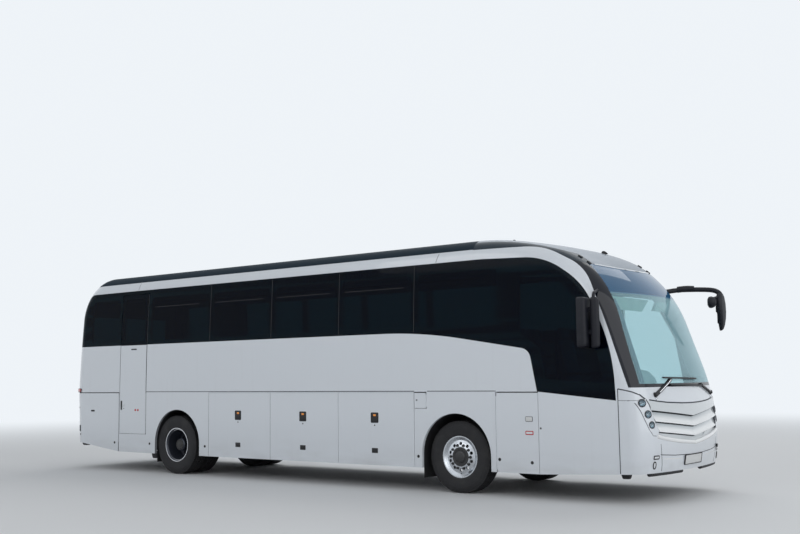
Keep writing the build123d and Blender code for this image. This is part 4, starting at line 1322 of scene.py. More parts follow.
@dataclass(frozen=True)
class Wheels:
    """Tyres with their tread, wheel nuts, hubs and valves."""

    front_x: float = 3.043
    rear_x: float = -3.077
    axle_z: float = 0.515
    front_y: float = 1.052
    outer_y: float = 1.087
    inner_y: float = 0.747
    carcass_half: tuple[Pair, ...] = (
        (0.118, 0.2925), (0.127, 0.3), (0.1315, 0.309), (0.1335, 0.322), (0.1375, 0.327), (0.1375, 0.333),
        (0.1395, 0.345), (0.1445, 0.375), (0.147, 0.398), (0.1473, 0.415), (0.1462, 0.432), (0.1475, 0.434),
        (0.1475, 0.44), (0.1455, 0.443), (0.1425, 0.462), (0.1375, 0.478), (0.1345, 0.482), (0.133, 0.489),
        (0.127, 0.4975), (0.118, 0.5015),
    )
    ribs: tuple[Pair, ...] = ((-0.109, 0.036), (-0.058, 0.045), (0.0, 0.048), (0.058, 0.045), (0.109, 0.036))
    blocks: int = 68
    block_l: float = 0.0408
    groove_r: float = 0.5015
    tread_h: float = 0.0133
    nuts: int = 10
    front_bolts: tuple[tuple[float, ...], ...] = (
        (0.1205, 0.0065, 0.009, 0.098), (0.1075, 0.0175, 0.036, 0.1675),
    )
    rear_bolts: tuple[tuple[float, ...], ...] = (
        (0.062, 0.0085, 0.014, 0.077), (-0.159, 0.0175, 0.04, 0.1675),
    )
    front_profile: tuple[Pair, ...] = (
        (0.11, 0.0), (0.11, 0.139), (0.1225, 0.139), (0.1255, 0.136), (0.1255, 0.112), (0.1215, 0.108),
        (0.1215, 0.088), (0.131, 0.084), (0.1355, 0.079), (0.1395, 0.062), (0.141, 0.0),
    )
    rear_profile: tuple[Pair, ...] = (
        (0.055, 0.0), (0.055, 0.094), (0.064, 0.094), (0.067, 0.09), (0.067, 0.052), (0.074, 0.046),
        (0.075, 0.0),
    )
    bright_rings: tuple[tuple[Pair, ...], ...] = (
        ((0.126, 0.2865), (0.1335, 0.2865), (0.1345, 0.2925), (0.1335, 0.2985), (0.1265, 0.2985)),
        ((0.096, 0.2675), (0.1, 0.2655), (0.104, 0.2665), (0.104, 0.2715), (0.096, 0.2715)),
    )

    def block(self, width: float) -> Solid:
        """One tread block with a chamfered face, its outside along local Z."""
        half, skew = self.block_l / 2, 0.12 * width
        rings = []
        for z, inset in ((-0.003, 0), (self.tread_h - 0.0022, 0), (self.tread_h, 0.0022)):
            x, y = half - inset, width / 2 - inset
            rings.append([(x + skew, y, z), (-x + skew, y, z), (-x - skew, -y, z), (x - skew, -y, z)])
        return loft(rings, TYRE)

    def tyre(self) -> Solid:
        """One tyre about the origin, its axle along Y."""
        half = list(self.carcass_half)
        profile = [(-y, r) for y, r in half] + half[::-1]
        tyre = turned(profile, TYRE, 96)
        for place, width in self.ribs:
            ring = RING.bake(self.block(width), Count=self.blocks, Radius=self.groove_r)
            tyre.merge(ring, Matrix.Translation((0, place, 0)))
        return tyre

    def nut(self, seat: float, size: float, reach: float) -> Solid:
        """A wheel nut on its washer with the stud's end, its axis along Y.

        Args:
            seat: Where its washer starts, along Y.
            size: Its width across corners, halved.
            reach: How far it stands out.

        Returns:
            The nut.
        """
        nut = Solid()
        for steps, sections in (
            (12, ((0.0, 1.35), (0.18, 1.35))),
            (6, ((0.2, 1.0), (0.8, 1.0), (0.86, 0.86))),
            (10, ((0.5, 0.5), (1.0, 0.5), (1.04, 0.4))),
        ):
            rings = []
            for y, share in sections:
                rings.append([(u, seat + y * reach, v) for u, v in circle(share * size, steps)])
            nut.merge(loft(rings, CHASSIS))
        return nut

    def hub(self, profile: Sequence[Pair], steps: int, bolts: Iterable[tuple[float, ...]]) -> Solid:
        """A dark hub with its rings of nuts, outside along Y.

        Args:
            profile: The hub's profile.
            steps: How many faces go round it.
            bolts: For each ring, the nuts' seat, size and reach, and the ring's radius.

        Returns:
            The hub.
        """
        hub = turned(profile, CHASSIS, steps)
        for seat, size, reach, radius in bolts:
            hub.merge(RING.bake(self.nut(seat, size, reach), Count=self.nuts, Radius=radius))
        return hub

    def valve(self, y: float, radius: float) -> Solid:
        """A bent valve stem with its cap.

        Args:
            y: Where it leaves the rim, along Y.
            radius: Where it leaves the rim, from the axle.

        Returns:
            The valve.
        """
        path = smooth_path([(0, y - 0.02, -radius), (0, y, -radius), (0, y + 0.015, -radius + 0.012)], 4)
        stem = tube(path, 0.004, CHROME, 8)
        end = path[-1]
        return stem.merge(tube([end, end + Vector((0, 0.009, 0.008))], 0.0055, PLASTIC, 8))

    def build(self) -> None:
        """Make every wheel's pieces."""
        tyre = self.tyre()
        front_hub = self.hub(self.front_profile, 64, self.front_bolts).merge(self.valve(0.085, 0.255))
        rear_hub = self.hub(self.rear_profile, 48, self.rear_bolts)
        for profile in self.bright_rings:
            rear_hub.merge(turned(profile, BRIGHT, 96))
        for side in Side:
            flip = Matrix.Diagonal((1, side.value, 1, 1))
            for end, tyres, body, hub, x, ys in (
                ("front", "front_tyre", "front_wheel", front_hub, self.front_x, (self.front_y,)),
                ("rear", "rear_tyres", "rear_wheels", rear_hub, self.rear_x, (self.outer_y, self.inner_y)),
            ):
                name, body = f"{tyres}_{side.word}", f"{body}_{side.word}"
                places = [Matrix.Translation((x, side.value * y, self.axle_z)) @ flip for y in ys]
                rubber = Solid()
                for place in places:
                    rubber.merge(tyre, place)
                rubber.piece(f"{name}_treaded", body, "tyre", [name])
                Solid().merge(hub, places[0]).piece(f"{end}_hub_{side.word}", body, "chassis_paint")


# Fittings on the sides


@dataclass(frozen=True)
class SideDetails:
    """Handles, locks, lamps, plugs and seams on the sides."""

    locker_handles: Pair = (0.15, 0.158)
    handle_z: float = 1.06
    locker_x: tuple[float, ...] = (-1.449, 0.048, 1.539)
    pad_z: float = 0.564
    pad: Pair = (0.118, 0.075)
    plugs: tuple[tuple[str, tuple[Pair, ...]], ...] = (
        ("lower", ((2.365, 0.506), (-3.763, 0.517), (-2.275, 0.514))),
        ("front_locker", ((4.297, 0.487), (3.776, 0.512))),
        ("engine_flap", ((-4.78, 0.514),)),
    )
    left_markers: tuple[float, ...] = (-4.3, -2.32, 2.36)
    marker_z: float = 0.62
    slat: tuple[Pair, ...] = ((0.0, 0.0003), (0.006, 0.007), (0.0105, 0.0065), (0.012, 0.0003))
    belt_z: float = 1.46

    def handle(self) -> Solid:
        """A dished pull with its marker lamp, in local (across, up, out) coordinates."""
        width, height = self.locker_handles
        pull = hoop(rounded(width, height, 0.016), 0.007, FOOT, 0.0035, SEAM)
        pull.merge(plug(rounded(width - 0.014, height - 0.014, 0.012), FOOT, 0.0009, PLASTIC, 0.0003))
        paddle = plug(rounded(width - 0.03, 0.07, 0.01), 0.0005, 0.006, PLASTIC, 0.003)
        pull.merge(paddle, Matrix.Translation((0, -0.03, 0)))
        lamp = plug(rounded(0.05, 0.03, 0.007), 0.0005, 0.0065, AMBER, 0.003)
        return pull.merge(lamp, Matrix.Translation((0, 0.037, 0)))

    def lock(self, radius: float = 0.014) -> Solid:
        """A round lock with a keyway and its dust ring."""
        lock = hoop(circle(radius), 0.004, FOOT, 0.003, SEAL)
        lock.merge(plug(circle(radius - 0.0035), FOOT, 0.0022, SEAL, 0.0006))
        return lock.merge(plug(rounded(0.0022, 0.009, 0.0009, 2), 0.0018, 0.0026, CHROME, 0.0003))

    def grommet(self) -> Solid:
        """A black plug over a jacking or towing point."""
        ring = hoop(circle(0.023), 0.006, FOOT, 0.003, SEAL)
        return ring.merge(plug(circle(0.0175), FOOT, 0.0016, PLASTIC, 0.0006))

    def build(self) -> None:
        """Fit both sides."""
        for side in Side:
            self.lockers(side)
            self.plugs_and_lamps(side)
            self.seams(side)

    def lockers(self, side: Side) -> None:
        """The pull, lamp, lock and rubbing pad of each luggage door."""
        width, height = self.pad
        pad = hoop(rounded(width, height, 0.008), 0.006, FOOT, 0.003, PLASTIC)
        pad.merge(plug(rounded(width - 0.01, height - 0.01, 0.006), FOOT, 0.0012, PLASTIC, 0.0005))
        pad.merge(plug(rounded(0.052, 0.016, 0.005), 0.001, 0.005, PLASTIC, 0.002))
        gear = ((self.handle(), self.handle_z), (pad, self.pad_z), (self.lock(0.011), self.handle_z - 0.115))
        for number, x in enumerate(self.locker_x, 1):
            node = f"luggage_door_{side.word}_{number}"
            placed = on_side(Skin(node), side, [(fitting, x, z) for fitting, z in gear])
            placed.piece(f"locker_gear_{side.word}_{number}", node, "black_plastic")

    def vent(self) -> Solid:
        """A louvred vent, in local (across, up, out) coordinates."""
        slat = loft([[(x, v, w) for v, w in self.slat] for x in (-0.3, 0.3)], PLASTIC)
        vent = hoop(rounded(0.66, 0.38, 0.02), 0.018, FOOT, 0.005, PLASTIC)
        vent.merge(plug(rounded(0.63, 0.35, 0.012), FOOT, 0.0006, SEAL, 0.0002))
        return vent.merge(ROW.bake(slat, Count=12, Start=(0, -0.16, 0), Step=(0, 0.028, 0)))

    def plugs_and_lamps(self, side: Side) -> None:
        """Plugs, locks and reflectors, the small handles of the flaps, and what one side alone has."""
        pull = hoop(rounded(0.115, 0.07, 0.012), 0.006, FOOT, 0.004, SEAM)
        pull.merge(plug(rounded(0.103, 0.058, 0.008), FOOT, 0.007, PLATE, 0.003))
        reflector = hoop(rounded(0.125, 0.056, 0.01), 0.012, FOOT, 0.005, RED)
        glass = CLEAR if side is Side.RIGHT else AMBER
        reflector.merge(plug(rounded(0.1, 0.03, 0.006), FOOT, 0.0055, glass, 0.002))
        gear = {
            "lower": [(self.lock(), 4.444, 0.954)],
            "front_locker": [(pull, 4.263, 1.077), (reflector, 4.265, 0.889)],
            "engine_flap": [(self.lock(), -5.9, 1.16), (self.lock(), -5.9, 0.72)],
        }
        if side is Side.LEFT:
            gear["engine_flap"].append((self.vent(), -5.3, 1.12))
        lower = Skin(f"lower_side_{side.word}", f"side_wall_{side.word}")
        for part, places in self.plugs:
            skin, name, body = lower, "side_plugs", COACH
            if part != "lower":
                body = f"{part}_{side.word}"
                skin, name = Skin(body), f"{part}_gear"
            placed = on_side(skin, side, [(self.grommet(), x, z) for x, z in places] + gear[part])
            placed.piece(f"{name}_{side.word}", body, "black_plastic")
        if side is Side.LEFT:
            lamp = hoop(rounded(0.1, 0.034, 0.008), 0.004, FOOT, 0.004, PLASTIC)
            lamp.merge(plug(rounded(0.092, 0.026, 0.006), FOOT, 0.0065, AMBER, 0.003))
            markers = on_side(lower, side, [(lamp, x, self.marker_z) for x in self.left_markers])
            markers.piece("side_markers_left", COACH, "tail_lens")
        else:
            self.right_only()

    def right_only(self) -> None:
        """The emergency door's fittings, the tail's corner lamp, the flap's catches and the fuel lock."""
        handle = hoop(rounded(0.056, 0.18, 0.012), 0.006, FOOT, 0.004, WHITE_TRIM)
        handle.merge(plug(rounded(0.048, 0.172, 0.01), FOOT, 0.001, PLASTIC, 0.0003))
        grip = plug(rounded(0.03, 0.11, 0.008), 0.0006, 0.009, PLASTIC, 0.004)
        handle.merge(grip, Matrix.Translation((0, 0.02, 0)))
        pull = plug(rounded(0.03, 0.05, 0.008), FOOT, 0.008, WHITE_TRIM, 0.004)
        bar = plug(rounded(0.15, 0.022, 0.008), FOOT, 0.008, PLASTIC, 0.003)
        dot = plug(circle(0.021, 16), FOOT, 0.006, RED, 0.002)
        lamp = hoop(rounded(0.15, 0.075, 0.02), 0.008, FOOT, 0.012, PLASTIC)
        lamp.merge(plug(rounded(0.138, 0.063, 0.016), FOOT, 0.02, RED, 0.008))
        latch = plug(rounded(0.11, 0.032, 0.014), FOOT, 0.006, PLASTIC, 0.003)
        lever = plug(rounded(0.04, 0.12, 0.014), FOOT, 0.01, PLASTIC, 0.004)
        stud = plug(circle(0.017, 16), FOOT, 0.005, PLASTIC, 0.002)
        door, flap, fuel = "emergency_door", "engine_flap_right", "fuel_flap"
        on_door = [(handle, -4.59, 1.208), (pull, -4.52, 1.215), (self.lock(0.009), -4.52, 1.15)]
        on_door += [(bar, -4.255, 2.25), (dot, -4.18, 1.124), (dot, -4.105, 1.124)]
        on_flap = [(latch, -5.46, 1.1), (lever, -5.87, 0.76), (stud, -5.85, 0.645)]
        corner = ("side_wall_right", "rear_wall", "lower_side_right")
        for name, body, slot, nodes, fittings in (
            ("emergency_door_gear", door, "black_plastic", (door,), on_door),
            ("tail_corner_lamp_right", COACH, "tail_lens", corner, [(lamp, -5.9, 1.49)]),
            ("engine_flap_catches", flap, "black_plastic", (flap,), on_flap),
            ("fuel_flap_lock", fuel, "chassis_paint", (fuel,), [(self.lock(0.012), 2.345, 1.33)]),
        ):
            on_side(Skin(*nodes), Side.RIGHT, fittings).piece(name, body, slot)

    def seams(self, side: Side) -> None:
        """Slanted joints in the strip over the windows and the joint along the belt."""
        beside = partial(side_hit, Skin(f"side_wall_{side.word}"), side)
        lines = Solid()
        for x in (-4.2, 2.69):
            lines.merge(ribbon([(x, 3.36), (x + 0.05, 3.49)], 0.006, beside, SEAM))
        start = -3.87 if side is Side.RIGHT else -4.66
        for run in ((start, 2.3), (2.54, 3.73)):
            lines.merge(ribbon([(x, self.belt_z) for x in run], 0.011, beside, SEAM))
        lines.piece(f"cant_seams_{side.word}", COACH, "band_trim")


# The face


def both(path: Sequence[Pair]) -> list[list[Pair]]:
    """A front-view line on the right and its mirror image on the left."""
    return [[(side.value * y, z) for y, z in path] for side in Side]


@dataclass(frozen=True)
class Face:
    """Lamps, seams, plate, and a lip and strips painted bright white as highlights on the nose."""

    lamps: tuple[Point, ...] = ((1.186, 1.3, 0.052), (1.139, 1.155, 0.05), (1.104, 1.019, 0.046))
    pod_inner: tuple[Pair, ...] = (
        (1.133, 1.342), (1.102, 1.283), (1.081, 1.201), (1.055, 1.119), (1.023, 1.026), (0.969, 0.942),
        (0.985, 0.895),
    )
    pod_outer: tuple[Pair, ...] = (
        (1.269, 1.331), (1.24, 1.296), (1.211, 1.194), (1.18, 1.062), (1.148, 0.96), (1.1, 0.882),
        (1.04, 0.876),
    )
    bonnet_seam: tuple[Pair, ...] = ((1.133, 1.345), (0.9, 1.317), (0.673, 1.297), (0.3, 1.281), (0, 1.277))
    chin: tuple[Pair, ...] = (
        (1.02, 0.878), (0.9, 0.853), (0.7, 0.821), (0.491, 0.795), (0.25, 0.772), (0, 0.752),
    )
    step_seam: tuple[Pair, ...] = ((0.95, 0.635), (0.911, 0.629), (0.6, 0.607), (0, 0.59))
    post_seam: tuple[Pair, ...] = ((0.949, 0.77), (0.93, 0.65), (0.9, 0.5), (0.893, 0.417))
    # Along this crease run thin strips of painted highlight
    crease: tuple[Pair, ...] = ((0.87, 0.575), (0.6, 0.562), (0.4, 0.556))
    side_seams: tuple[tuple[float, tuple[Pair, ...]], ...] = (
        (0.015, ((5.606, 1.484), (5.7, 1.466), (5.785, 1.445), (5.869, 1.406), (5.918, 1.35))),
        (0.005, ((5.604, 1.333), (5.8, 1.334), (5.875, 1.331))),
        (0.011, ((5.601, 1.487), (5.602, 1.1), (5.603, 0.75), (5.604, 0.395))),
    )
    plate_size: Pair = (0.53, 0.118)
    plate_at: Pair = (-0.065, 0.53)
    fog_lamp: Pair = (1.065, 0.503)
    marker: Pair = (1.035, 0.602)
    box: Pair = (0.975, 0.65)

    def lamp(self, r: float) -> Solid:
        """One deep round lamp in local (across, up, out) coordinates.

        Args:
            r: Its radius.

        Returns:
            Its bowl, bulb, shield, bezel and lens.
        """
        bowl = (
            (0.002, r - 0.0025), (0.0, r - 0.006), (-0.012, r * 0.78), (-0.022, r * 0.5), (-0.027, r * 0.22),
            (-0.027, 0.0), (-0.0285, 0.0), (-0.0285, r * 0.3), (-0.024, r * 0.55), (-0.014, r * 0.84),
            (-0.004, r - 0.0025),
        )
        bulb = ((-0.026, 0.0), (-0.026, 0.007), (-0.008, 0.0065), (-0.004, 0.004), (-0.0035, 0.0))
        shield = ((-0.009, r * 0.3), (-0.0075, r * 0.33), (-0.009, r * 0.36), (-0.0105, r * 0.33))
        bezel = (
            (-0.005, r + 0.0005), (0.0025, r + 0.0025), (0.0045, r + 0.0005), (0.0045, r - 0.003),
            (0.0015, r - 0.0065), (-0.005, r - 0.0045),
        )
        lens = (
            (0.0, r - 0.006), (0.002, r - 0.006), (0.0065, r * 0.6), (0.0085, r * 0.25), (0.0088, 0.0),
            (0.0073, 0.0), (0.007, r * 0.25), (0.005, r * 0.6),
        )
        lamp = Solid()
        for profile, finish, steps in (
            (bowl, BOWL, 40), (bulb, BULB, 16), (shield, CHROME, 32), (bezel, PLASTIC, 40),
            (lens, LENS_GLASS, 40),
        ):
            lamp.merge(turned(profile, finish, steps), OUTWARD)
        return lamp

    def build(self) -> None:
        """Fit the nose."""
        skin = Skin(
            "front_bumper", "lamp_pods", "bonnet_panel", "windscreen", "louvre_grille", "lower_side_right",
            "lower_side_left", "side_wall_right", "side_wall_left", "headlamps",
        )
        drop = partial(nose_hit, skin)
        self.round_lamps(drop)
        self.seams(skin, drop)
        self.bumper_lamps(drop)
        self.plate(drop)

    def round_lamps(self, drop: Callable) -> None:
        """Six round lamps, in place of the plain solids."""
        lamps = Solid()
        for side in Side:
            for y, z, radius in self.lamps:
                lamps.merge(self.lamp(radius), seat_on(drop(side.value * y, z)))
        lamps.piece("round_headlamps", COACH, "lamp_lens", ["headlamps"])

    def seams(self, skin: Skin, drop: Callable) -> None:
        """Dark joints between the panels, the thin lines round the pods, and the lip along the chin and strips
        on the bumper's crease in bright white as painted highlights.
        """
        lines = Solid()
        for path, width in (
            (self.pod_inner, 0.014), (self.pod_outer, 0.006), (self.bonnet_seam, 0.017),
            (self.step_seam, 0.009), (self.post_seam, 0.008),
        ):
            for line in both(path):
                lines.merge(ribbon(line, width, drop, SEAM))
        for side in Side:
            beside = partial(side_hit, skin, side)
            for width, path in self.side_seams:
                lines.merge(ribbon(path, width, beside, SEAM))
        lines.piece("nose_seams", COACH, "band_trim")
        # The chin's lip and the crease strips are painted bright white as highlights
        highlight_lips = Solid()
        bumper = Skin("front_bumper")
        for side in Side:
            edge = []
            for y, z in self.chin:
                hit, _ = nose_hit(bumper, side.value * y, z - 0.04)
                edge.append(hit + Vector((-0.012, 0, 0.034)))
            highlight_lips.merge(tube(smooth_path(edge, 6), 0.03, HIGHLIGHT_WHITE, 20))
        for line in both(self.crease):
            highlight_lips.merge(ribbon(line, 0.013, drop, HIGHLIGHT_WHITE, 0.0015))
        highlight_lips.piece("chin_lip", COACH, "body_paint")

    def bumper_lamps(self, drop: Callable) -> None:
        """Oval fog lamps and small marker lamps at the bumper's corners, and a small box by the left ones."""
        oval = [(0.034 * u, 0.052 * v) for u, v in circle(1, 32)]
        fog = hoop(oval, 0.015, FOOT, 0.006, PLASTIC)
        fog.merge(plug(scaled(oval, 0.014), FOOT, 0.001, CHROME, 0.0003))
        fog.merge(plug(scaled(oval, 0.016), 0.0012, 0.0048, CLEAR, 0.0025))
        marker = hoop(rounded(0.123, 0.054, 0.012), 0.015, FOOT, 0.004, PLASTIC)
        marker.merge(plug(rounded(0.094, 0.025, 0.005), FOOT, 0.0045, CLEAR, 0.002))
        gear = Solid()
        for side in Side:
            for lamp, (y, z) in ((fog, self.fog_lamp), (marker, self.marker)):
                gear.merge(lamp, seat_on(drop(side.value * y, z)))
        box = plug(rounded(0.06, 0.035, 0.006), 0.0, 0.022, PLASTIC, 0.004)
        gear.merge(box, seat_on(drop(*self.box)))
        gear.piece("bumper_lamps", COACH, "lamp_lens")

    def plate(self, drop: Callable) -> None:
        """A blank number plate in its holder."""
        width, height = self.plate_size
        place = seat_on(drop(*self.plate_at))
        plate = hoop(rounded(width + 0.02, height + 0.02, 0.012), 0.012, 0.0, 0.013, PLASTIC)
        plate.merge(plug(rounded(width, height, 0.008), 0.0, 0.0105, PLATE, 0.0015))
        screw = plug(circle(0.006, 12), 0.0105, 0.0135, PLATE, 0.002)
        for x in (-0.16, 0.16):
            plate.merge(screw, Matrix.Translation((x, 0.03, 0)))
        Solid().merge(plate, place).piece("front_plate", COACH, "body_paint")


# Glass


@dataclass(frozen=True)
class Glazing:
    """The bright lip over the windscreen, seals between the side panes, and the joints of their top vents."""

    joints: tuple[float, ...] = (-2.185, -0.685, 0.805, 2.295)
    belt_z: float = 2.34
    head_z: float = 3.33
    vent_z: float = 3.02

    def build(self) -> None:
        """Fit the glass."""
        screen = Skin("windscreen")
        top = [(0.88 - 0.176 * k, 3.19 - 0.033 * (1 - ((k - 5) / 5) ** 2)) for k in range(11)]
        line = [nose_hit(screen, y, z - 0.012)[0] + Vector((0.003, 0, 0.003)) for y, z in top]
        tube(line, 0.009, CHROME, 8).piece("screen_top_lip", COACH, "alloy")
        for side in Side:
            beside = partial(side_hit, Skin("side_glass"), side)
            seals = Solid()
            for x in self.joints:
                seals.merge(ribbon([(x, self.belt_z), (x, self.head_z)], 0.009, beside, SEAL))
            for x in (-3.8, *self.joints[:-1]):
                seals.merge(ribbon([(x + 0.12, self.vent_z), (x + 1.3, self.vent_z)], 0.008, beside, SEAL))
            seals.piece(f"pane_seals_{side.word}", COACH, "black_plastic")


# Mirrors and wipers


@dataclass(frozen=True)
class Mirrors:
    """The mirror cases and the glass in their backs."""

    arm: tuple[Point, ...] = (
        (5.24, 1.15, 2.9), (5.45, 1.3, 2.93), (5.85, 1.42, 2.915), (5.99, 1.42, 2.86), (6.0, 1.42, 2.8),
    )
    hinge: tuple[Point, ...] = ((5.4, 1.275, 2.935), (5.52, 1.325, 2.945), (5.63, 1.358, 2.938))
    branch: tuple[Point, ...] = ((5.96, 1.25, 2.77), (5.985, 1.33, 2.79), (6.0, 1.4, 2.79))
    root: tuple[tuple[float, ...], ...] = (
        (5.345, 1.185, 2.62, 0.012), (5.33, 1.18, 2.68, 0.03), (5.29, 1.17, 2.8, 0.045),
        (5.245, 1.155, 2.9, 0.05), (5.22, 1.14, 2.93, 0.03),
    )
    head: tuple[tuple[float, ...], ...] = (
        (2.3, 1.46, 0.03, 0.025), (2.32, 1.46, 0.07, 0.05), (2.38, 1.455, 0.12, 0.07),
        (2.48, 1.445, 0.175, 0.085), (2.58, 1.432, 0.205, 0.092), (2.7, 1.42, 0.21, 0.092),
        (2.8, 1.415, 0.17, 0.085), (2.85, 1.42, 0.09, 0.075), (2.865, 1.42, 0.05, 0.05),
    )
    head_back: float = 5.965
    lobe: tuple[Pair, ...] = (
        (5.905, 0.84), (5.912, 0.95), (5.945, 1.0), (5.98, 0.86), (6.005, 0.55), (6.012, 0.25),
    )
    right_heads: tuple[tuple[Pair, Pair, Pair], ...] = (
        ((5.166, 5.285), (-1.532, -1.328), (2.028, 2.692)),
        ((5.321, 5.425), (-1.434, -1.346), (2.02, 2.69)),
    )
    plates: tuple[tuple[str, Point, Pair], ...] = (
        ("mirror_left", (5.965, 1.425, 2.67), (0.165, 0.19)),
        ("mirror_left", (5.965, 1.45, 2.475), (0.12, 0.13)),
        ("mirror_left", (5.905, 1.225, 2.715), (0.09, 0.11)),
        ("mirror_right", (5.166, -1.43, 2.36), (0.165, 0.6)),
        ("mirror_right", (5.321, -1.39, 2.36), (0.05, 0.56)),
    )

    def left(self) -> Solid:
        """The arm with its hinge block, the leaf-shaped head and the round kerb mirror."""
        case = tube(smooth_path(self.arm, 5), 0.037, MIRROR_CASE, 16)
        case.merge(tube(smooth_path(self.hinge, 4), 0.048, MIRROR_CASE, 16))
        rings = [[(x + r * u, y + r * v, z) for u, v in circle(1, 16)] for x, y, z, r in self.root]
        case.merge(loft(rings, MIRROR_CASE))
        rings = []
        for z, y, width, depth in self.head:
            outline = rounded(depth, width, min(depth, width) * 0.42, 5)
            rings.append([(self.head_back + depth / 2 + u, y + v, z) for u, v in outline])
        case.merge(loft(rings, MIRROR_CASE))
        oval = [(0.072 * u, 0.088 * v) for u, v in circle(1, 28)]
        rings = [[(x, 1.225 + s * u, 2.715 + s * v) for u, v in oval] for x, s in self.lobe]
        case.merge(loft(rings, MIRROR_CASE))
        return case.merge(tube(smooth_path(self.branch, 4), 0.02, MIRROR_CASE, 10))

    def right(self) -> Solid:
        """Two deep cases over the heads of the right mirrors."""
        cases = Solid()
        for (back, front), (y0, y1), (z0, z1) in self.right_heads:
            outline = rounded(y1 - y0, z1 - z0, 0.035, 6)
            insets = (0.004, 0.0, 0.0, 0.01, 0.028)
            rings = []
            for x, inset in zip((back, back + 0.006, front - 0.04, front - 0.015, front), insets):
                rings.append([(x, (y0 + y1) / 2 + u, (z0 + z1) / 2 + v) for u, v in scaled(outline, inset)])
            cases.merge(loft(rings, MIRROR_CASE))
        return cases

    def build(self) -> None:
        """Fit the cases and each pane."""
        self.left().piece("mirror_left_case", COACH, "black_plastic", ["mirror_left"], crease=40)
        self.right().piece("mirror_right_cases", COACH, "black_plastic", crease=40)
        panes = {"mirror_left": Solid(), "mirror_right": Solid()}
        for housing, (x, y, z), (width, height) in self.plates:
            place = seat_on((Vector((x, y, z)), Vector((-1, 0, 0))))
            corner = 0.018 if width > 0.1 else 0.04
            outer = rounded(width + 0.014, height + 0.014, min(corner + 0.004, width * 0.45))
            pane = hoop(outer, 0.007, FOOT, 0.004, PLASTIC)
            pane.merge(plug(rounded(width, height, min(corner, width * 0.4)), FOOT, 0.0025, MIRROR, 0.0012))
            panes[housing].merge(pane, place)
        for housing, solid in panes.items():
            solid.piece(f"{housing}_glass", COACH, "alloy")


@dataclass(frozen=True)
class Wipers:
    """Pivot caps, springs and hose loops of the two wipers."""

    arms: tuple[tuple[Pair, Pair], ...] = (((-0.94, 1.4), (-0.477, 1.604)), ((0.94, 1.4), (0.505, 1.52)))
    cap: tuple[Pair, ...] = (
        (0.0, 0.0), (0.0, 0.034), (0.012, 0.032), (0.034, 0.026), (0.04, 0.018), (0.041, 0.0),
    )

    def build(self) -> None:
        """Fit both wipers."""
        skin = Skin("bonnet_panel", "windscreen", "front_bumper")
        arms = Skin("wipers")
        gear = Solid()
        for (y, z), (end_y, end_z) in self.arms:
            gear.merge(turned(self.cap, PLASTIC, 24), seat_on(nose_hit(skin, y, z)) @ OUTWARD)
            rod = []
            for k in range(7):
                t = 0.14 + 0.13 * k
                hit, normal = nose_hit(arms, y + (end_y - y) * t, z + (end_z - z) * t)
                rod.append(hit + normal * 0.006)
            hit, normal = nose_hit(skin, y + math.copysign(0.01, -y), z - 0.055)
            hose = [hit + normal * 0.01 + Vector((0, 0.018 * u, 0.02 * v)) for u, v in circle(1, 14)]
            for path in (rod, [*hose, hose[0]]):
                gear.merge(tube(path, 0.005, BRIGHT, 8))
        gear.piece("wiper_gear", COACH, "black_plastic")


# Roof and tail


@dataclass(frozen=True)
class Roof:
    """Hatches, aerials and small brackets on the roof."""

    hatches: tuple[float, ...] = (1.9, -3.1)
    hatch_z: float = 3.6555
    fins: tuple[Point, ...] = ((3.55, -0.35, 0.06), (4.75, 0.2, 0.05))
    fin: tuple[Pair, ...] = ((0.055, 0.0), (0.05, 0.3), (0.036, 0.7), (0.018, 1.0))

    def build(self) -> None:
        """Fit the roof."""
        shell = Skin("roof_shell", "front_dome", "rear_wall", "windscreen")
        gear = Solid()
        hatch = hoop(rounded(0.78, 0.64, 0.06), 0.03, -0.004, 0.028, PLASTIC)
        hatch.merge(plug(rounded(0.73, 0.59, 0.05), -0.004, 0.04, HATCH, 0.012))
        for x in self.hatches:
            gear.merge(hatch, Matrix.Translation((x, 0, self.hatch_z)))
        down = Vector((0, 0, -1))
        for x, y, height in self.fins:
            at, _ = shell.meet(Vector((x, y, BEYOND)), down)
            rings = []
            for r, t in self.fin:
                z = at.z - 0.003 + height * t
                rings.append([(at.x + r * u - 0.02 * t, at.y + 0.4 * r * v, z) for u, v in circle(1, 16)])
            gear.merge(loft(rings, PLASTIC))
        bracket = plug(rounded(0.07, 0.03, 0.008), -0.002, 0.018, PLASTIC, 0.004)
        for side in Side:
            for x in (4.95, 5.08):
                hit = shell.meet(Vector((x, side.value * 0.95, BEYOND)), down)
                gear.merge(bracket, seat_on(hit, Vector((0, 1, 0))))
        gear.piece("roof_gear", COACH, "black_plastic")


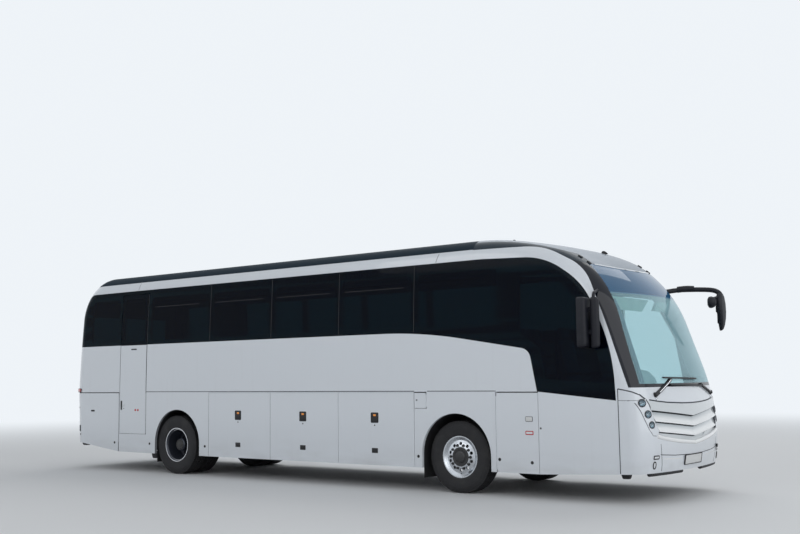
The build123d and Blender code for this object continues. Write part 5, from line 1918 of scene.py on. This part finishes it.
@dataclass(frozen=True)
class Tail:
    """Lamp clusters, plate, lid handle, seals and reflectors on the tail."""

    lamp_y: float = 1.01
    cells: tuple[tuple[float, Finish], ...] = (
        (0.82, RED), (0.95, AMBER), (1.07, RED), (1.19, CLEAR), (1.31, RED),
    )
    window: tuple[float, ...] = (2.03, 1.03, 0.05)
    window_z: float = 2.5

    def build(self) -> None:
        """Fit the tail."""
        skin = Skin("rear_wall", "tail_lamps", "engine_lid", "rear_window")
        lamps, trim = Solid(), Solid()
        for side in Side:
            for z, glass in self.cells:
                place = seat_on(tail_hit(skin, side.value * self.lamp_y, z))
                lens = hoop(circle(0.056, 32), 0.006, FOOT, 0.006, CHROME)
                lens.merge(plug(circle(0.049, 32), FOOT, 0.009, glass, 0.006))
                lamps.merge(lens, place)
            place = seat_on(tail_hit(skin, side.value * 0.98, 0.6))
            reflector = hoop(rounded(0.12, 0.05, 0.008), 0.005, FOOT, 0.004, PLASTIC)
            reflector.merge(plug(rounded(0.11, 0.04, 0.006), FOOT, 0.0055, RED, 0.002))
            lamps.merge(reflector, place)
        for y in (-0.5, -0.3, 0.3, 0.5):
            top = hoop(rounded(0.16, 0.035, 0.012), 0.006, FOOT, 0.005, PLASTIC)
            top.merge(plug(rounded(0.15, 0.027, 0.01), FOOT, 0.0075, RED, 0.004))
            lamps.merge(top, seat_on(tail_hit(skin, y, 3.14)))
        lamps.piece("tail_lenses", COACH, "tail_lens")
        lid = Skin("engine_lid")
        gear = hoop(rounded(0.55, 0.15, 0.015), 0.014, 0.0, 0.014, PLASTIC)
        gear.merge(plug(rounded(0.525, 0.12, 0.008), 0.0, 0.0115, PLATE, 0.0015))
        pull = hoop(rounded(0.26, 0.05, 0.02), 0.012, 0.0, 0.02, PLASTIC)
        on_lid = Solid().merge(gear, seat_on(tail_hit(lid, 0, 0.86)))
        on_lid.merge(pull, seat_on(tail_hit(lid, 0, 0.755)))
        on_lid.piece("rear_plate_and_pull", "engine_lid", "black_plastic")
        hits = [tail_hit(skin, u, self.window_z + v) for u, v in rounded(*self.window, 6)]
        trim.merge(tube([p + n * 0.001 for p, n in [*hits, hits[0]]], 0.009, SEAL, 8))
        for y0, y1, z in ((-0.3, -1.05, 0.62), (0.3, 1.05, 0.62), (-1.15, 1.15, 1.46)):
            trim.merge(ribbon([(y0, z), (y1, z)], 0.006, partial(tail_hit, skin), SEAM))
        trim.piece("tail_seals", COACH, "black_plastic")


@dataclass(frozen=True)
class Skids:
    """Black rubbing pads, blocks and lips under the skirts."""

    pads: tuple[tuple[Point, Pair], ...] = (
        ((5.62, 1.13, 0.392), (0.12, 0.07)),
        ((-5.85, 1.12, 0.487), (0.16, 0.06)),
        ((-3.7, 1.17, 0.385), (0.15, 0.13)),
    )
    lip_back: float = 0.045
    lip_z: float = 0.388

    def build(self) -> None:
        """Hang them under the body."""
        gear = Solid()
        for ((x, y, z), (length, drop)), side in product(self.pads, Side):
            shape = []
            for t, share in ((0.0, 1.0), (0.35, 0.96), (0.75, 0.85), (1.0, 0.7)):
                outline = rounded(length * share, 0.12 * share, 0.03 * share)
                shape.append([(x + u, side.value * y + v, z - drop * t) for u, v in outline])
            gear.merge(loft(shape[::-1], PLASTIC))
        bumper = Skin("front_bumper")
        for side in Side:
            hits = [nose_hit(bumper, side.value * (0.32 + 0.13 * k), 0.45)[0] for k in range(7)]
            lip = [Vector((hit.x - self.lip_back, hit.y, self.lip_z)) for hit in hits]
            gear.merge(tube(lip, 0.03, PLASTIC, 12))
        gear.piece("skid_pads", COACH, "black_plastic")


# The cabin


CLOTH_PRESSURE = 4.0
CLOTH_FRAMES = 20


def inflated(shape: Solid, cell: float, cap: float, keep: float) -> Solid:
    """Swell a closed shape as stuffed cloth does, by simulation, and thin its mesh.

    Args:
        shape: The starting shape, slightly smaller than the pad.
        cell: The size of the even mesh that is simulated.
        cap: How far a point may move.
        keep: The share of the faces left at the end.

    Returns:
        The pad.
    """
    pad = linked("pad", shape.mesh("pad"))
    even = pad.modifiers.new("even", "REMESH")
    even.mode, even.voxel_size = "VOXEL", cell
    pad.data = evaluated(pad)
    pad.modifiers.clear()
    rest = np.array([v.co for v in pad.data.vertices])
    cloth = pad.modifiers.new("cloth", "CLOTH")
    cloth.settings.use_pressure = True
    cloth.settings.uniform_pressure_force = CLOTH_PRESSURE
    cloth.settings.effector_weights.gravity = 0.0
    cloth.settings.quality = 4
    for number in range(1, CLOTH_FRAMES + 1):
        bpy.context.scene.frame_set(number)
    full = pad.evaluated_get(bpy.context.evaluated_depsgraph_get()).data
    moved = np.array([v.co for v in full.vertices]) - rest
    size = np.maximum(np.linalg.norm(moved, axis=1, keepdims=True), 1e-9)
    rest = rest + moved * np.minimum(1.0, cap / size)
    pad.modifiers.clear()
    bpy.context.scene.frame_set(1)
    pad.data.vertices.foreach_set("co", rest.ravel())
    thin = pad.modifiers.new("thin", "DECIMATE")
    thin.ratio = keep
    result = read_back(pad, PLUSH)
    bpy.data.objects.remove(pad)
    return result


@dataclass(frozen=True)
class Seats:
    """Padded seats in rows, on frames with hard backs and arm rests."""

    first_x: float = -5.2
    pitch: float = 0.76
    rows: int = 12
    deck_z: float = 1.37
    seat_y: Pair = (0.545, 0.975)
    width: float = 0.4
    skipped: tuple[int, ...] = (1, 2)
    cushion: tuple[Pair, ...] = (
        (0.02, 0.352), (0.2, 0.34), (0.4, 0.335), (0.455, 0.345), (0.478, 0.38), (0.47, 0.42), (0.43, 0.438),
        (0.3, 0.436), (0.12, 0.428), (0.04, 0.415), (0.01, 0.385),
    )
    back: tuple[Pair, ...] = (
        (0.025, 0.45), (-0.02, 0.44), (-0.06, 0.48), (-0.09, 0.65), (-0.125, 0.85), (-0.15, 1.03),
        (-0.14, 1.06), (-0.11, 1.065), (-0.085, 1.04), (-0.07, 0.95), (-0.04, 0.8), (-0.002, 0.65),
        (0.025, 0.52),
    )
    shell: tuple[Pair, ...] = (
        (-0.035, 0.4), (-0.05, 0.4), (-0.085, 0.46), (-0.118, 0.65), (-0.153, 0.88), (-0.175, 1.02),
        (-0.16, 1.02), (-0.14, 0.88), (-0.105, 0.65), (-0.072, 0.46),
    )
    arm_rest: tuple[Pair, ...] = (
        (-0.06, 0.6), (0.02, 0.615), (0.25, 0.612), (0.3, 0.6), (0.3, 0.585), (0.02, 0.58), (-0.05, 0.56),
    )
    leg: tuple[Pair, ...] = ((0.3, 0.0), (0.12, 0.0), (0.17, 0.31), (0.29, 0.31))
    pair_y: float = 0.76
    swell: tuple[Pair, ...] = (
        (0.0, 0.8), (0.03, 0.93), (0.1, 1.0), (0.25, 0.97), (0.5, 0.95), (0.75, 0.97), (0.9, 1.0),
        (0.97, 0.93), (1.0, 0.8),
    )

    def across(self, outline: Sequence[Pair], width: float, finish: Finish, narrow: float = 0.0) -> Solid:
        """A form across the seat with rounded ends.

        Args:
            outline: Its side view.
            width: Its width.
            finish: The finish.
            narrow: The share of width lost at its top.

        Returns:
            The solid.
        """
        mid_x, mid_z = (sum(values) / len(outline) for values in zip(*outline))
        top = max(p[1] for p in outline)
        rings = []
        for t, share in self.swell:
            ring = []
            for x, z in outline:
                taper = 1 - narrow * max(0.0, 1 - (top - z) / 0.3) ** 2
                height = mid_z + (z - mid_z) * (share if narrow == 0 else 0.5 + share / 2)
                ring.append((mid_x + (x - mid_x) * share, (t - 0.5) * width * taper, height))
            rings.append(ring)
        return loft(rings, finish)

    def pads(self) -> Solid:
        """The cushion and back of one seat, simulated as stuffed cloth."""
        cushion = inflated(self.across(self.cushion, self.width, PLUSH), 0.012, 0.012, 0.16)
        return cushion.merge(inflated(self.across(self.back, self.width, PLUSH, 0.16), 0.012, 0.012, 0.16))

    def frame(self, width: float = 0.86) -> Solid:
        """Legs, rails, hard backs and arm rests of a pair of seats, about its middle."""
        frame = Solid()
        for y in (-0.22, 0.22):
            frame.merge(slab(self.leg, (-0.02, 0.02), CHASSIS, (0, y, 0)))
            foot = rounded(0.26, 0.09, 0.02, 2)
            frame.merge(loft([[(0.21 + u, y + v, z) for u, v in foot] for z in (0.0, 0.012)], CHASSIS))
        for x in (0.14, 0.36):
            frame.merge(tube([(x, -width / 2 + 0.05, 0.32), (x, width / 2 - 0.05, 0.32)], 0.014, CHASSIS, 8))
        shell = self.across(self.shell, self.width + 0.012, TRIM, 0.14)
        for y in self.seat_y:
            frame.merge(shell, Matrix.Translation((0, y - self.pair_y, 0)))
        for y in (-width / 2 + 0.005, 0.0, width / 2 - 0.005):
            frame.merge(slab(self.arm_rest, (-0.017, -0.012, 0.012, 0.017), PLASTIC, (0, y, 0)))
        return frame

    def build(self) -> None:
        """Fill the rows in place of the plain solids."""
        pads, frames = Solid(), Solid()
        seat = self.pads()
        frame_one = self.frame()
        for side in Side:
            for row in range(self.rows):
                if side is Side.RIGHT and row in self.skipped:
                    continue
                x = self.first_x + self.pitch * row
                for y in self.seat_y:
                    pads.merge(seat, Matrix.Translation((x, side.value * y, self.deck_z)))
                frames.merge(frame_one, Matrix.Translation((x, side.value * self.pair_y, self.deck_z)))
        padded = pads.piece("seat_pads", COACH, "seat_fabric", ["passenger_seats"], 60)
        frames.piece("seat_frames", COACH, "interior_trim")


@dataclass(frozen=True)
class Cab:
    """The driver's place behind the windscreen."""

    seat_at: Point = (4.62, -0.63, 1.0)
    seat_scale: Point = (1.0, 1.18, 1.12)
    wheel_at: Point = (5.08, -0.62, 1.64)
    head_rest: tuple[Pair, ...] = ((-0.1, 1.09), (-0.17, 1.1), (-0.19, 1.2), (-0.15, 1.25), (-0.11, 1.2))
    arm_rest: tuple[Pair, ...] = ((-0.05, 0.7), (0.25, 0.71), (0.32, 0.69), (0.3, 0.665), (0.0, 0.66))
    hood: tuple[Pair, ...] = (
        (5.31, 1.44), (5.33, 1.56), (5.38, 1.62), (5.5, 1.64), (5.6, 1.5), (5.74, 1.5), (5.7, 1.62),
        (5.6, 1.72), (5.47, 1.745), (5.36, 1.7), (5.3, 1.6), (5.27, 1.42),
    )
    hood_ends: tuple[Pair, ...] = (
        (-1.09, 0.8), (-1.06, 0.95), (-0.98, 1.0), (-0.4, 1.0), (-0.28, 0.93), (-0.22, 0.75),
    )
    top_pad: tuple[Pair, ...] = (
        (5.72, 1.49), (5.62, 1.46), (5.6, 1.4), (5.57, 1.4), (5.57, 1.5), (5.62, 1.53), (5.8, 1.535),
        (5.95, 1.52), (5.95, 1.49),
    )
    dials: tuple[Pair, ...] = ((-0.1, 0.055), (0.1, 0.055), (-0.18, 0.022), (0.18, 0.022))
    blinds: tuple[tuple[Pair, tuple[Pair, ...]], ...] = (
        ((-0.95, 0.3), ((5.36, 2.73), (5.26, 2.58), (5.26, 2.568), (5.36, 2.718))),
        ((0.55, 0.95), ((5.4, 2.72), (5.34, 2.59), (5.29, 2.59), (5.35, 2.72))),
    )
    rail: tuple[Point, ...] = ((4.45, 1.1, 0.98), (4.45, 1.08, 1.5), (4.5, 1.07, 1.95), (4.62, 1.09, 2.0))

    def build(self) -> None:
        """Fit out the cab."""
        seats = Seats()
        seat = seats.pads()
        place = Matrix.Translation(self.seat_at) @ Matrix.Diagonal((*self.seat_scale, 1.0))
        pads = Solid().merge(seat, place)
        rest = inflated(seats.across(self.head_rest, 0.26, PLUSH), 0.012, 0.01, 0.2)
        pads.merge(rest, Matrix.Translation(self.seat_at) @ Matrix.Translation((0, 0, 0.1)))
        pads.piece("driver_seat_pads", COACH, "seat_fabric", ["driver_seat"], 60)
        gear = Solid()
        x, y, z = self.seat_at
        gear.merge(seats.across(seats.shell, 0.48, PLASTIC, 0.12), place)
        for k in range(5):
            w = 0.34 - 0.03 * (k % 2)
            outline = rounded(w, w + 0.04, 0.05)
            low, high = 0.95 + 0.075 * k, 0.95 + 0.075 * (k + 1)
            gear.merge(loft([[(x + 0.2 + u, y + v, h) for u, v in outline] for h in (low, high)], SEAL))
        for dy in (-0.27, 0.27):
            gear.merge(slab(self.arm_rest, (-0.028, -0.02, 0.02, 0.028), PLASTIC, (x, y + dy, z)))
        gear.merge(tube([(x - 0.17, y, z + 1.18), (x - 0.18, y, z + 1.3)], 0.012, CHROME, 8))
        gear.piece("driver_seat_frame", COACH, "interior_trim")
        self.dash()
        self.header()

    def dash(self) -> None:
        """The pale hood over the instruments, dials, stalks, switches and the dash's top pad."""
        dash = Solid()
        rings = []
        for y, share in self.hood_ends:
            rings.append([(5.5 + (u - 5.5) * share, y, 1.5 + (v - 1.5) * share) for u, v in self.hood])
        dash.merge(loft(rings, DASH_TRIM))
        rings = []
        for y in (-0.15, 0.2, 0.6, 0.95):
            rings.append([(u - 0.012 * (y / 0.6) ** 2, y, v) for u, v in self.top_pad])
        dash.merge(loft(rings, DASH_TRIM))
        place = seat_on((Vector((5.385, self.wheel_at[1], 1.6)), Vector((-0.9, 0, 0.42))))
        panel = plug(rounded(0.42, 0.15, 0.03), -0.02, 0.004, PLASTIC, 0.002)
        for at, radius in self.dials:
            dial = hoop(circle(radius, 28), 0.005, 0.004, 0.009, CHROME)
            dial.merge(plug(circle(radius - 0.005, 28), 0.003, 0.0045, SEAL, 0.0004))
            needle = plug(rounded(0.0025, radius * 1.2, 0.001, 2), 0.0045, 0.0055, RED, 0.0003)
            dial.merge(needle, rotation("Z", 40))
            panel.merge(dial, Matrix.Translation((at, 0, 0)))
        dash.merge(panel, place)
        x, y, z = self.wheel_at
        for dy in (-0.14, 0.14):
            stalk = [(x + 0.14, y + dy * 0.3, z - 0.08), (x + 0.1, y + dy, z - 0.05)]
            dash.merge(tube(stalk, 0.008, PLASTIC, 8))
        switch = plug(rounded(0.03, 0.02, 0.004, 2), 0.0, 0.008, PLASTIC, 0.002)
        shelf = seat_on((Vector((5.29, -0.3, 1.42)), Vector((-1, 0, 0.25))))
        for row in range(2):
            for k in range(5):
                dash.merge(switch, shelf @ Matrix.Translation((-0.09 + 0.045 * k, 0.035 * row, 0)))
        dash.piece("dash_hood", COACH, "interior_trim")

    def header(self) -> None:
        """The dark box over the windscreen with its blinds, the posts' inner trim and the hand rail."""
        head = Solid()
        skin = Skin("windscreen")
        rings = []
        for k in range(13):
            y = -0.93 + 1.86 * k / 12
            low, _ = nose_hit(skin, y, 2.76)
            high, _ = nose_hit(skin, y * 0.9, 3.1)
            near = y * 0.9
            rings.append([
                (low.x - 0.05, y, 2.76), (low.x - 0.17, y, 2.74), (low.x - 0.5, y, 2.86),
                (high.x - 0.3, near, 3.12), (high.x - 0.06, near, 3.1),
            ])
        head.merge(loft(rings, HEADER))
        for ends, profile in self.blinds:
            head.merge(slab(profile, ends, BLIND))
        for side in Side:
            inner = []
            for k in range(9):
                z = 1.5 + 0.15 * k
                hit, normal = nose_hit(skin, side.value * (1.09 - 0.012 * k), z)
                inner.append(hit - normal * 0.07)
            head.merge(tube(inner, 0.045, HEADER, 10))
        head.merge(tube(smooth_path(self.rail, 5), 0.014, CHROME, 10))
        head.piece("cab_header", COACH, "interior_trim")


def main() -> None:
    """Build the coach's looks."""
    logging.basicConfig(level=logging.INFO, format="%(message)s")
    Viewpoint().make()
    Studio().make()
    Shell().dress()
    Wheels().build()
    SideDetails().build()
    Face().build()
    Glazing().build()
    Mirrors().build()
    Wipers().build()
    Roof().build()
    Tail().build()
    Skids().build()
    Seats().build()
    Cab().build()
    bpy.context.scene.view_settings.view_transform = "Standard"


if __name__ == "__main__":
    main()
